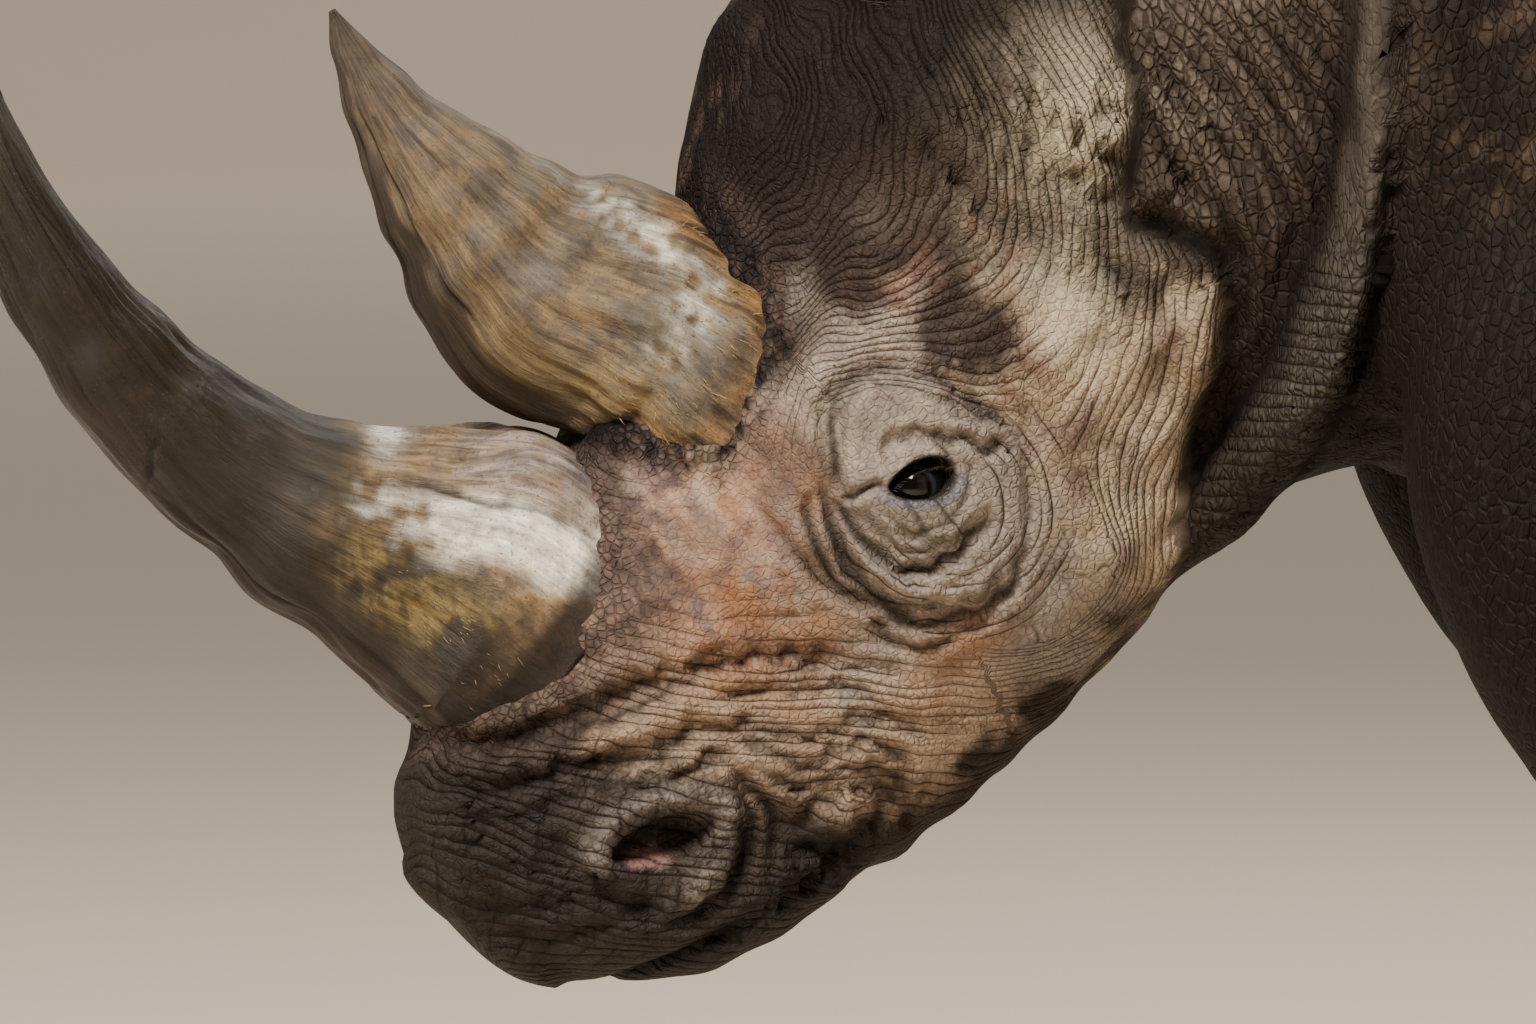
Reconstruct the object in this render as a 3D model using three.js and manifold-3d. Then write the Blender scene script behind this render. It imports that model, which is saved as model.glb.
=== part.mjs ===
// Black rhinoceros, life size, standing with its head lowered and turned a little to its left.
// Millimetres, +Z up. The animal faces -X and its left side is -Y. It stands on z = 0.
//
// The flesh is one smooth field, positive outside and negative inside. Each node is a net drawn
// over its own stretch of that field and parted from its neighbours by thin flat cuts. Horns,
// eyes, ears, nails and hair are solids of their own, each seated in a socket cut to fit it.

import * as THREE from "three";
import { mergeVertices } from "three/addons/utils/BufferGeometryUtils.js";
import Module from "manifold-3d";

const wasm = await Module();
wasm.setup();

// ---------------------------------------------------------------- driving dimensions

const GAP = 0.3; // between nodes that touch
const WELD = 0.02; // points of a finished node nearer than this become one
const EYE_HEIGHT = 620;
const EYE_SIDE = 118; // from the head's middle plane to the eye
const EYE_RADIUS = 20;
const HEAD_PITCH = 52; // degrees below level
const HEAD_YAW = 15; // degrees to the animal's left
const HEAD_SIDE = -45; // how far the head's middle sits to the left of the body's
const NECK_PITCH = 28; // degrees, rising to the withers
const NAIL_GROWTH = 34; // how far a nail stands from its middle

// ---------------------------------------------------------------- frames and tables

const radians = THREE.MathUtils.degToRad;
const vector = (x, y, z) => new THREE.Vector3(x, y, z);

// A frame has an origin and three unit directions: along, side (the animal's left) and up.
const frameOf = (origin, along, side, up) => ({ origin, along, side, up });

const pitched = (origin, pitch, yaw) => {
  const level = vector(-Math.cos(yaw), -Math.sin(yaw), 0);
  const side = vector(Math.sin(yaw), -Math.cos(yaw), 0);
  const along = level.clone().multiplyScalar(Math.cos(pitch)).add(vector(0, 0, -Math.sin(pitch)));
  const up = level.clone().multiplyScalar(Math.sin(pitch)).add(vector(0, 0, Math.cos(pitch)));
  return frameOf(origin, along, side, up);
};

// The head's frame: its origin lies between the eyes, along points to the nose, up to the brow.
const HEAD = pitched(vector(0, HEAD_SIDE, EYE_HEIGHT), radians(HEAD_PITCH), radians(HEAD_YAW));
// The neck's frame: its origin is at the back of the head, along points to the withers.
const NECK = frameOf(
  vector(60, -20, 775),
  vector(Math.cos(radians(NECK_PITCH)), 0.04, Math.sin(radians(NECK_PITCH))).normalize(),
  vector(0, -1, 0),
  vector(-Math.sin(radians(NECK_PITCH)), 0, Math.cos(radians(NECK_PITCH))),
);
const TRUNK = frameOf(vector(0, 0, 0), vector(1, 0, 0), vector(0, -1, 0), vector(0, 0, 1));
// Legs are sliced level: along is up, up is forward.
const UPRIGHT = frameOf(vector(0, 0, 0), vector(0, 0, 1), vector(0, -1, 0), vector(-1, 0, 0));

const local = (frame, x, y, z) => {
  const dx = x - frame.origin.x;
  const dy = y - frame.origin.y;
  const dz = z - frame.origin.z;
  const on = (a) => dx * a.x + dy * a.y + dz * a.z;
  return [on(frame.along), on(frame.side), on(frame.up)];
};
const world = (frame, along, side, up) =>
  frame.origin
    .clone()
    .addScaledVector(frame.along, along)
    .addScaledVector(frame.side, side)
    .addScaledVector(frame.up, up);

// A smooth curve through a table's rows, whose first column is the place along.
function rowAt(rows, place) {
  const last = rows.length - 1;
  const t = Math.min(Math.max(place, rows[0][0]), rows[last][0]);
  let i = 0;
  while (i < last - 1 && rows[i + 1][0] < t) i++;
  const a = rows[i];
  const b = rows[i + 1];
  const before = rows[Math.max(i - 1, 0)];
  const after = rows[Math.min(i + 2, last)];
  const span = b[0] - a[0];
  const h = (t - a[0]) / span;
  const [h2, h3] = [h * h, h * h * h];
  return a.map((value, c) => {
    const leaving = ((b[c] - before[c]) / (b[0] - before[0])) * span;
    const coming = ((after[c] - a[c]) / (after[0] - a[0])) * span;
    const rise = (2 * h3 - 3 * h2 + 1) * value + (h3 - 2 * h2 + h) * leaving;
    return rise + (3 * h2 - 2 * h3) * b[c] + (h3 - h2) * coming;
  });
}

// ---------------------------------------------------------------- the field's building blocks

// Roughly the distance to a tube with superelliptic slices. Its rows are
// [along, side, up, half width, reach up, reach down], and cap rounds its two ends.
function tube(frame, rows, { caps, power = 2.3 }) {
  const first = rows[0][0];
  const end = rows[rows.length - 1][0];
  return (x, y, z) => {
    const [a, s, u] = local(frame, x, y, z);
    const row = rowAt(rows, a);
    const past = a < first ? (first - a) / caps[0] : Math.max(0, (a - end) / caps[1]);
    const cap = a < first ? caps[0] : caps[1];
    const across = Math.abs(s - row[1]) / row[3];
    const reach = u > row[2] ? row[4] : row[5];
    const rise = Math.abs(u - row[2]) / reach;
    const sum = across ** power + rise ** power + past ** power + 1e-9;
    const q = sum ** (1 / power);
    const steep = Math.hypot(
      across ** (power - 1) / row[3],
      rise ** (power - 1) / reach,
      past ** (power - 1) / cap,
    );
    return ((q - 1) * q ** (power - 1)) / (steep + 1e-6);
  };
}

// Roughly the distance to an ellipsoid with radii along, side and up in a frame.
function lump(frame, centre, radii, mirrored = true) {
  return (x, y, z) => {
    const p = local(frame, x, y, z);
    if (mirrored) p[1] = Math.abs(p[1]);
    const scaled = p.map((value, i) => (value - centre[i]) / radii[i]);
    const q = Math.hypot(...scaled);
    return (q * (q - 1)) / (Math.hypot(...scaled.map((value, i) => value / radii[i])) + 1e-6);
  };
}

// A soft swelling, 1 at its centre and fading over its radii.
const swell = (p, centre, radii) =>
  Math.exp(-p.reduce((sum, value, i) => sum + ((value - centre[i]) / radii[i]) ** 2, 0));

const join = (a, b, soft) => {
  const h = Math.max(soft - Math.abs(a - b), 0) / soft;
  return Math.min(a, b) - (h * h * soft) / 4;
};

// ---------------------------------------------------------------- torso and neck

const torsoForm = tube(
  TRUNK,
  [
    // along, side, up, half width, reach up, reach down
    [400, 0, 960, 235, 380, 350],
    [600, 0, 990, 318, 500, 430],
    [800, 0, 985, 362, 492, 450],
    [1050, 0, 960, 392, 448, 445],
    [1300, 0, 945, 402, 437, 435],
    [1550, 0, 960, 400, 445, 425],
    [1800, 0, 1010, 375, 435, 420],
    [2000, 0, 1040, 330, 400, 370],
    [2170, 0, 1060, 255, 330, 290],
  ],
  { caps: [130, 165], power: 2.2 },
);

const neckForm = tube(
  NECK,
  [
    [0, 0, 0, 122, 170, 150],
    [150, 0, 0, 150, 205, 205],
    [300, 0, 0, 195, 262, 275],
    [450, 0, 5, 240, 330, 345],
    [600, 0, 0, 262, 370, 400],
  ],
  { caps: [90, 160] },
);

// The loose roll of skin that rings the neck just before the shoulder and hangs at the throat.
const ROLL = [
  // up, place behind the eyes, half breadth, how far it stands out
  [600, 236, 34, 26],
  [650, 262, 36, 34],
  [710, 288, 36, 34],
  [785, 304, 34, 30],
  [905, 312, 32, 26],
  [1080, 338, 30, 16],
  [1300, 410, 30, 4],
];
const rollAt = (x, z) => {
  const [, place, breadth, height] = rowAt(ROLL, z);
  return height * Math.exp(-(((x - place) / breadth) ** 2));
};

// ---------------------------------------------------------------- head

const headForm = tube(
  HEAD,
  [
    [-235, 0, 60, 98, 160, 170],
    [-155, 0, 40, 122, 176, 190],
    [-100, 0, 25, 132, 178, 200],
    [-40, 0, 10, 128, 175, 198],
    [20, 0, 2, 116, 168, 187],
    [80, 0, 2, 98, 160, 180],
    [140, 0, 2, 87, 153, 168],
    [200, 0, 8, 82, 138, 152],
    [255, 0, 10, 80, 127, 134],
    [300, 0, 8, 76, 115, 102],
    [332, 0, 22, 60, 84, 82],
    [350, 0, 32, 40, 52, 66],
  ],
  { caps: [60, 16], power: 2.35 },
);

// Swellings (+) and hollows (-) of both sides of the head: [height, centre, radii].
const HEAD_RELIEF = [
  [-26, [-30, 88, 140], [62, 40, 46]], // fall of the brow beside the rear horn
  [-9, [25, 92, 118], [50, 34, 36]], // hollow below the rear horn's foot
  [8, [88, 55, 140], [34, 34, 34]], // ridge between the horns
  [10, [4, 118, -14], [70, 60, 78]], // the bag of the eye
  [9, [-20, 100, 62], [60, 50, 34]], // brow
  [8, [-110, 130, 0], [70, 50, 42]], // cheek arch, running back to the ear
  [12, [-55, 95, -125], [80, 60, 60]], // chewing muscle
  [-9, [110, 95, -20], [55, 40, 60]], // hollow before the eye
  [-7, [60, 90, 95], [50, 45, 45]], // waist between brow and horn
  [8, [262, 78, -22], [42, 40, 34]], // mound of the nostril
  [9, [345, 0, -6], [30, 60, 34]], // hooked tip of the upper lip
  [7, [292, 40, -96], [46, 60, 26]], // lower lip
  [-6, [215, 85, -66], [30, 40, 20]], // corner of the mouth
  [10, [-150, 0, 215], [70, 60, 40]], // crown behind the horns
];

const earRoot = lump(HEAD, [-222, 92, 96], [66, 46, 60]);

function headField(x, y, z) {
  const p = local(HEAD, x, y, z);
  p[1] = Math.abs(p[1]);
  let d = headForm(x, y, z);
  for (const [height, centre, radii] of HEAD_RELIEF) d -= height * swell(p, centre, radii);
  return join(d, earRoot(x, y, z), 50);
}

// ---------------------------------------------------------------- legs

// A leg is sliced level from the ground up: [up, side, -behind, half width, front, rear].
const legRows = (side, rows) =>
  rows.map(([up, inset, behind, halfWidth, front, rear]) => [
    up,
    side * (250 - inset),
    -behind,
    halfWidth,
    front,
    rear,
  ]);
// A foreleg, leaning back from the elbow; shift moves the foot, fading out at the elbow.
const foreleg = (side, shift) => {
  const lean = (up) => shift * Math.max(0, 1 - up / 620);
  return tube(
    UPRIGHT,
    legRows(
      side,
      [
        [8, 8, 600, 112, 120, 112],
        [60, 8, 604, 106, 112, 106],
        [110, 10, 612, 88, 92, 90],
        [180, 12, 604, 76, 84, 82],
        [260, 12, 590, 80, 96, 86],
        [330, 8, 572, 88, 110, 94],
        [420, 0, 535, 98, 126, 112],
        [520, -6, 505, 112, 160, 142],
        [640, -2, 500, 120, 190, 175],
        [800, 20, 540, 110, 200, 190],
      ].map((row) => [row[0], row[1], row[2] + lean(row[0]), ...row.slice(3)]),
    ),
    { caps: [18, 180], power: 2.2 },
  );
};
// A hind leg: broad thigh, hock set back, then straight down; shift moves the foot.
const hindleg = (side, shift) => {
  const lean = (up) => shift * Math.max(0, 1 - up / 700);
  return tube(
    UPRIGHT,
    legRows(
      side,
      [
        [8, 22, 2030, 106, 116, 108],
        [60, 22, 2034, 100, 108, 102],
        [110, 24, 2048, 84, 90, 86],
        [190, 26, 2072, 72, 78, 78],
        [290, 26, 2098, 74, 86, 84],
        [380, 24, 2110, 80, 100, 96],
        [450, 20, 2098, 86, 118, 110],
        [540, 14, 2060, 100, 160, 138],
        [660, 6, 2010, 128, 232, 190],
        [800, 6, 1990, 150, 262, 232],
        [960, 30, 1990, 160, 262, 250],
      ].map((row) => [row[0], row[1], row[2] + lean(row[0]), ...row.slice(3)]),
    ),
    { caps: [18, 200], power: 2.2 },
  );
};
const LEGS = {
  foreleg_left: { form: foreleg(1, 0), side: -1, foot: 600, inset: 8 },
  foreleg_right: { form: foreleg(-1, 95), side: 1, foot: 695, inset: 8 },
  hindleg_left: { form: hindleg(1, 60), side: -1, foot: 2090, inset: 22 },
  hindleg_right: { form: hindleg(-1, -120), side: 1, foot: 1910, inset: 22 },
};

// ---------------------------------------------------------------- the whole field

const shoulderBlade = lump(TRUNK, [590, 255, 900], [190, 88, 330]);
const haunch = lump(TRUNK, [2010, 215, 930], [230, 150, 300]);

function trunkField(x, y, z) {
  let d = join(torsoForm(x, y, z), neckForm(x, y, z), 150);
  d = join(d, shoulderBlade(x, y, z), 90);
  d = join(d, haunch(x, y, z), 110);
  return d - rollAt(x, z);
}

function flesh(x, y, z) {
  let d = join(trunkField(x, y, z), headField(x, y, z), 70);
  for (const leg of Object.values(LEGS)) d = join(d, leg.form(x, y, z), 70);
  return d;
}

// ---------------------------------------------------------------- solids

// Points nearer than weld become one, and the faces that this flattens are left out.
const solidOf = (geometry, weld = 1e-3) => {
  geometry.deleteAttribute("normal");
  geometry.deleteAttribute("uv");
  const merged = mergeVertices(geometry, weld);
  const order = merged.index.array;
  const kept = [];
  for (let n = 0; n < order.length; n += 3) {
    const [a, b, c] = order.slice(n, n + 3);
    if (a !== b && b !== c && c !== a) kept.push(a, b, c);
  }
  return new wasm.Manifold(
    new wasm.Mesh({
      numProp: 3,
      vertProperties: merged.getAttribute("position").array,
      triVerts: new Uint32Array(kept),
    }),
  );
};

const geometryOf = (solid) => {
  const { vertProperties, triVerts } = solid.getMesh();
  return new THREE.BufferGeometry()
    .setAttribute("position", new THREE.BufferAttribute(vertProperties, 3))
    .setIndex(new THREE.BufferAttribute(triVerts, 1));
};

// The closed surface that encloses most, without scraps.
const largest = (solid) =>
  solid.decompose().reduce((best, body) => (body.volume() > best.volume() ? body : best));

// Moves a point on to the field's surface by two short steps down its slope.
function settle(field, p, reach) {
  const step = 1.5;
  for (let round = 0; round < 2; round++) {
    const d = field(p[0], p[1], p[2]);
    const slope = [
      field(p[0] + step, p[1], p[2]) - field(p[0] - step, p[1], p[2]),
      field(p[0], p[1] + step, p[2]) - field(p[0], p[1] - step, p[2]),
      field(p[0], p[1], p[2] + step) - field(p[0], p[1], p[2] - step),
    ].map((rise) => rise / (2 * step));
    const steep = slope.reduce((sum, rise) => sum + rise * rise, 1e-6);
    const move = Math.max(-reach, Math.min(reach, d / Math.sqrt(steep))) / Math.sqrt(steep);
    p = p.map((value, i) => value - slope[i] * move);
  }
  return p;
}

// The eight corners of a cell, and its twelve edges as [corner, far corner, axis].
const CORNERS = [0, 1, 2, 3, 4, 5, 6, 7].map((n) => [n & 1, (n >> 1) & 1, (n >> 2) & 1]);
const EDGES = [0, 1, 2].flatMap((axis) =>
  CORNERS.flatMap((corner, n) => (corner[axis] ? [] : [[n, n + (1 << axis), axis]])),
);
// Its six sides, each the list of edges that lie in it.
const CELL_SIDES = [0, 1, 2].flatMap((axis) =>
  [0, 1].map((level) =>
    EDGES.flatMap(([a, b], n) => (CORNERS[a][axis] === level && CORNERS[b][axis] === level ? [n] : [])),
  ),
);

// The sheets of surface in a cell: the lists of crossed edges that belong together. Where a
// side is crossed four times, each of its inner corners keeps its own two edges.
function sheetsOf(value) {
  const crossed = EDGES.map(([a, b]) => value[a] < 0 !== value[b] < 0);
  const group = EDGES.map((_, n) => n);
  const unite = (a, b) => {
    const [to, from] = [group[a], group[b]];
    group.forEach((g, n) => g === from && (group[n] = to));
  };
  for (const side of CELL_SIDES) {
    const cut = side.filter((n) => crossed[n]);
    if (cut.length === 2) unite(...cut);
    if (cut.length < 4) continue;
    const ends = [...new Set(side.flatMap((n) => EDGES[n].slice(0, 2)))];
    for (const corner of ends.filter((n) => value[n] < 0))
      unite(...cut.filter((n) => EDGES[n][0] === corner || EDGES[n][1] === corner));
  }
  const lists = new Map();
  crossed.forEach((is, n) => is && lists.set(group[n], [...(lists.get(group[n]) ?? []), n]));
  return [...lists.values()];
}

// A closed net over the field inside a box of a frame: one point for each sheet of surface in
// each cell, and four-sided faces between them, split along their shorter diagonal.
function net(field, frame, low, high, cell) {
  const count = low.map((value, i) => Math.ceil((high[i] - value) / cell[i]) + 1);
  const at = (i, j, k) =>
    world(frame, low[0] + i * cell[0], low[1] + j * cell[1], low[2] + k * cell[2]);
  const index = (i, j, k) => (i * count[1] + j) * count[2] + k;
  const values = new Float64Array(count[0] * count[1] * count[2]);
  const shy = 0.12 * Math.min(...cell); // keeps crossings away from the grid's own points
  const everyCell = (visit) => {
    for (let i = 0; i < count[0]; i++)
      for (let j = 0; j < count[1]; j++) for (let k = 0; k < count[2]; k++) visit(i, j, k);
  };
  everyCell((i, j, k) => {
    const border = [i, j, k].some((n, axis) => n === 0 || n === count[axis] - 1);
    const p = at(i, j, k);
    const value = field(p.x, p.y, p.z);
    const clear = Math.max(Math.abs(value), shy) * (value < 0 ? -1 : 1);
    values[index(i, j, k)] = border ? Math.max(value, shy) : clear;
  });
  const points = [];
  const pointOf = new Map();
  everyCell((i, j, k) => {
    if ([i, j, k].some((n, axis) => n === count[axis] - 1)) return;
    const value = CORNERS.map(([a, b, c]) => values[index(i + a, j + b, k + c)]);
    if (value.every((v) => v < 0) || value.every((v) => v >= 0)) return;
    const inner = [i, j, k].every((n, axis) => n > 0 && n < count[axis] - 2);
    for (const sheet of sheetsOf(value)) {
      const sum = [0, 0, 0];
      for (const n of sheet) {
        const [a, b] = EDGES[n];
        const t = value[a] / (value[a] - value[b]) / sheet.length;
        sum.forEach((_, axis) => {
          sum[axis] += CORNERS[a][axis] / sheet.length;
          sum[axis] += t * (CORNERS[b][axis] - CORNERS[a][axis]);
        });
        pointOf.set(index(i, j, k) * 12 + n, points.length);
      }
      const p = at(i + sum[0], j + sum[1], k + sum[2]).toArray();
      points.push(inner ? settle(field, p, 0.3 * Math.min(...cell)) : p);
    }
  });
  const faces = [];
  const mirrored = frame.along.clone().cross(frame.side).dot(frame.up) < 0;
  const apart = (a, b) => Math.hypot(...points[a].map((value, i) => value - points[b][i]));
  everyCell((i, j, k) => {
    const here = values[index(i, j, k)] < 0;
    for (let axis = 0; axis < 3; axis++) {
      const far = [i, j, k].map((n, a) => (a === axis ? n + 1 : n));
      if (far[axis] === count[axis] || values[index(...far)] < 0 === here) continue;
      const ring = [[1, 1], [0, 1], [0, 0], [1, 0]].map(([back, down]) => {
        const from = [i, j, k];
        from[(axis + 1) % 3] -= back;
        from[(axis + 2) % 3] -= down;
        const corner = (back << (axis + 1) % 3) + (down << (axis + 2) % 3);
        return pointOf.get(index(...from) * 12 + EDGES.findIndex(([n, , a]) => n === corner && a === axis));
      });
      if (here === mirrored) ring.reverse();
      const [p, q, r, s] = ring;
      if (apart(p, r) < apart(q, s)) faces.push(p, q, r, p, r, s);
      else faces.push(q, r, s, q, s, p);
    }
  });
  return solidOf(
    new THREE.BufferGeometry()
      .setAttribute("position", new THREE.Float32BufferAttribute(points.flat(), 3))
      .setIndex(faces),
  );
}

const bodyOf = (points, faces) => {
  const build = (order) =>
    solidOf(
      new THREE.BufferGeometry()
        .setAttribute("position", new THREE.Float32BufferAttribute(points.flatMap((p) => p.toArray()), 3))
        .setIndex(order),
    );
  const solid = build(faces);
  if (solid.volume() > 0) return solid;
  return build(faces.map((_, n) => faces[n % 3 === 0 ? n : n % 3 === 1 ? n + 1 : n - 1]));
};
const walls = (around, count) => {
  const faces = [];
  for (let r = 0; r < count - 1; r++)
    for (let i = 0; i < around; i++) {
      const [a, b] = [r * around + i, r * around + ((i + 1) % around)];
      faces.push(a, b, b + around, a, b + around, a + around);
    }
  return faces;
};

// A closed body through rounded rings of equal count, fanned shut at both ends.
function loft(rings) {
  const around = rings[0].length;
  const points = rings.flat();
  for (const ring of [rings[0], rings[rings.length - 1]])
    points.push(ring.reduce((sum, p) => sum.add(p), vector(0, 0, 0)).divideScalar(around));
  const faces = walls(around, rings.length);
  const top = (rings.length - 1) * around;
  for (let i = 0; i < around; i++) {
    const next = (i + 1) % around;
    faces.push(points.length - 2, next, i, points.length - 1, top + i, top + next);
  }
  return bodyOf(points, faces);
}

// A closed leaf through crescents: each ring runs out along its back and home along its front.
function leaf(rings) {
  const around = rings[0].length;
  const faces = walls(around, rings.length);
  const top = (rings.length - 1) * around;
  for (let i = 0; i < around / 2 - 1; i++) {
    const [a, b, c, d] = [i, i + 1, around - 2 - i, around - 1 - i];
    faces.push(a, c, b, a, d, c, top + a, top + b, top + c, top + a, top + c, top + d);
  }
  return bodyOf(rings.flat(), faces);
}

// A box between two corners of a frame.
function block(frame, low, high) {
  const size = high.map((value, i) => value - low[i]);
  const centre = high.map((value, i) => (value + low[i]) / 2);
  const turn = new THREE.Matrix4().makeBasis(frame.along, frame.side, frame.up);
  if (turn.determinant() < 0) turn.makeBasis(frame.along, frame.side.clone().negate(), frame.up);
  return solidOf(
    new THREE.BoxGeometry(...size).applyMatrix4(turn.setPosition(world(frame, ...centre))),
  );
}

// An ellipsoid placed by a matrix whose columns hold its three radii.
function ball(centre, along, side, up, detail = [16, 10]) {
  const m = new THREE.Matrix4().makeBasis(along, side, up).setPosition(centre);
  const solid = solidOf(new THREE.SphereGeometry(1, ...detail).applyMatrix4(m));
  return solid.volume() > 0
    ? solid
    : solidOf(
        new THREE.SphereGeometry(1, ...detail).applyMatrix4(
          m.makeBasis(along, side.clone().negate(), up).setPosition(centre),
        ),
      );
}

// ---------------------------------------------------------------- flesh, net by net

// Flat cuts that part the flesh, each a frame whose along points forward or up out of the cut.
const headCut = pitched(vector(147, -40, 740), radians(19), radians(8));
const SHOULDER_LEAN = radians(12);
const shoulderCut = frameOf(
  vector(425, 0, 1000),
  vector(-Math.cos(SHOULDER_LEAN), 0, Math.sin(SHOULDER_LEAN)),
  vector(0, -1, 0),
  vector(Math.sin(SHOULDER_LEAN), 0, Math.cos(SHOULDER_LEAN)),
);
const FAR = 4000;
const ahead = (cut, gap) => block(cut, [gap / 2, -FAR, -FAR], [FAR, FAR, FAR]);
const behind = (cut, gap) => block(cut, [-FAR, -FAR, -FAR], [-gap / 2, FAR, FAR]);

// The space of a leg below its cut; grow widens it, to leave the gap in what it is cut from.
const LEG_SPACE = {
  foreleg: { low: [-60, 100, 296], high: [600, 480, 740] },
  hindleg: { low: [-60, 50, 1740], high: [690, 480, 2500] },
};
function legSpace(kind, side, grow) {
  const { low, high } = LEG_SPACE[kind];
  const [inner, outer] = side < 0 ? [low[1], high[1]] : [-high[1], -low[1]];
  return block(
    UPRIGHT,
    [low[0] - grow, inner - grow, -high[2] - grow],
    [high[0] + grow, outer + grow, -low[2] + grow],
  );
}

const clearOfLegs = (solid) =>
  Object.keys(LEGS).reduce(
    (rest, name) => rest.subtract(legSpace(name.split("_")[0], LEGS[name].side, GAP)),
    solid,
  );

function trunkSolid() {
  const solid = net(flesh, TRUNK, [330, -470, 430], [2420, 470, 1570], [98, 78, 76]);
  return largest(clearOfLegs(solid.intersect(behind(shoulderCut, GAP))));
}
function neckSolid() {
  const solid = net(flesh, TRUNK, [-120, -380, 520], [560, 380, 1560], [40, 46, 50]);
  return largest(clearOfLegs(solid.intersect(behind(headCut, GAP)).intersect(ahead(shoulderCut, GAP))));
}
function headSolid() {
  const low = [-400, -270, -280];
  const solid = net(flesh, HEAD, low, [400, 270, 300], [28, 25, 26]);
  return largest(solid.intersect(ahead(headCut, GAP)));
}
function legSolid(name) {
  const { side, foot } = LEGS[name];
  const kind = name.split("_")[0];
  const { high } = LEG_SPACE[kind];
  const inner = side < 0 ? 0 : -440;
  const reach = kind === "foreleg" ? [400, 330] : [330, 440];
  const low = [-30, inner, -foot - reach[0]];
  const solid = net(flesh, UPRIGHT, low, [high[0] + 80, inner + 440, reach[1] - foot], [60, 42, 46]);
  const ground = block(UPRIGHT, [-300, -FAR, -4000], [0, FAR, FAR]);
  return largest(solid.intersect(legSpace(kind, side, 0)).subtract(ground));
}
// ---------------------------------------------------------------- horns, eyes, ears, nails, hair

const RIGHT_HEAD = frameOf(HEAD.origin, HEAD.along, HEAD.side.clone().negate(), HEAD.up);
const headSide = (side) => (side < 0 ? HEAD : RIGHT_HEAD);

const HORN_FRONT = [
  // along the head, up from it, half length, half breadth
  [191, 90, 94, 72],
  [192, 146, 94, 73],
  [200, 178, 84, 63],
  [212, 218, 70, 54],
  [225, 270, 56, 47],
  [230, 330, 46, 40],
  [224, 400, 38, 35],
  [204, 470, 31, 29],
  [172, 545, 25, 24],
  [130, 613, 18.5, 18],
  [84, 672, 11.5, 11],
  [46, 712, 4, 4],
];
const HORN_REAR = [
  [12, 98, 76, 84],
  [12, 150, 75, 78],
  [19, 186, 75, 68],
  [31, 228, 74, 56],
  [29, 268, 60, 47],
  [20, 315, 43, 37],
  [8, 362, 28, 26],
  [-8, 404, 14, 13],
  [-20, 428, 4, 4],
];
// The power that each of a horn's first slices is rounded with; below 1 it is squarer than an ellipse.
const FOOT_ROUNDING = [0.8, 0.8, 0.88, 0.96];

// A closed body round a line that bends in a frame's middle plane.
function bent(frame, rows, around, grow, rounding = []) {
  const rings = rows.map(([along, up, length, breadth], i) => {
    const rounded = (value) => Math.sign(value) * Math.abs(value) ** (rounding[i] ?? 1);
    const before = rows[Math.max(i - 1, 0)];
    const after = rows[Math.min(i + 1, rows.length - 1)];
    const run = new THREE.Vector2(after[0] - before[0], after[1] - before[1]).normalize();
    return Array.from({ length: around }, (_, n) => {
      const turn = (n / around) * Math.PI * 2;
      const fore = rounded(Math.cos(turn)) * (length + grow);
      const side = rounded(Math.sin(turn)) * (breadth + grow);
      const sunk = i === 0 ? grow : 0;
      const place = [along + fore * run.y - sunk * run.x, up - fore * run.x - sunk * run.y];
      return world(frame, place[0], side, place[1]);
    });
  });
  return loft(rings);
}
const hornSolid = (rows, grow) => bent(HEAD, rows, 18, grow, FOOT_ROUNDING);

const eyeBall = (side, grow) => {
  const radius = EYE_RADIUS + grow;
  const frame = headSide(side);
  const radii = [frame.along, frame.side, frame.up].map((d) => d.clone().multiplyScalar(radius));
  return ball(world(frame, 0, EYE_SIDE - 8, 0), ...radii, [16, 9]);
};
// The opening between the lids, tipped so that its front corner is the higher one.
const LID_SLANT = radians(36);
const FISSURE = { length: 21, height: 9.5, depth: 24 };
const lidOpening = (side) => {
  const frame = headSide(side);
  const along = frame.along.clone().multiplyScalar(Math.cos(LID_SLANT));
  along.addScaledVector(frame.up, Math.sin(LID_SLANT));
  const up = frame.up.clone().multiplyScalar(Math.cos(LID_SLANT));
  up.addScaledVector(frame.along, -Math.sin(LID_SLANT));
  return ball(
    world(frame, -1, EYE_SIDE + 20, 1),
    along.multiplyScalar(FISSURE.length),
    frame.side.clone().multiplyScalar(FISSURE.depth),
    up.multiplyScalar(FISSURE.height),
    [16, 8],
  );
};
const lidDome = (side) => {
  const frame = headSide(side);
  const radii = [frame.along, frame.side, frame.up].map((d) => d.clone().multiplyScalar(29));
  return ball(world(frame, 0, EYE_SIDE - 8, 0), ...radii, [14, 9]);
};

const NOSTRIL = { along: 258, side: 84, up: -20, length: 30, depth: 26, height: 11, slant: 30 };
const nostril = (side) => {
  const frame = headSide(side);
  const slant = radians(NOSTRIL.slant);
  const along = frame.along.clone().multiplyScalar(Math.cos(slant));
  along.addScaledVector(frame.up, Math.sin(slant));
  const up = frame.up.clone().multiplyScalar(Math.cos(slant));
  up.addScaledVector(frame.along, -Math.sin(slant));
  return ball(
    world(frame, NOSTRIL.along, NOSTRIL.side, NOSTRIL.up),
    along.multiplyScalar(NOSTRIL.length),
    frame.side.clone().multiplyScalar(NOSTRIL.depth),
    up.multiplyScalar(NOSTRIL.height),
    [14, 8],
  );
};

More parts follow.
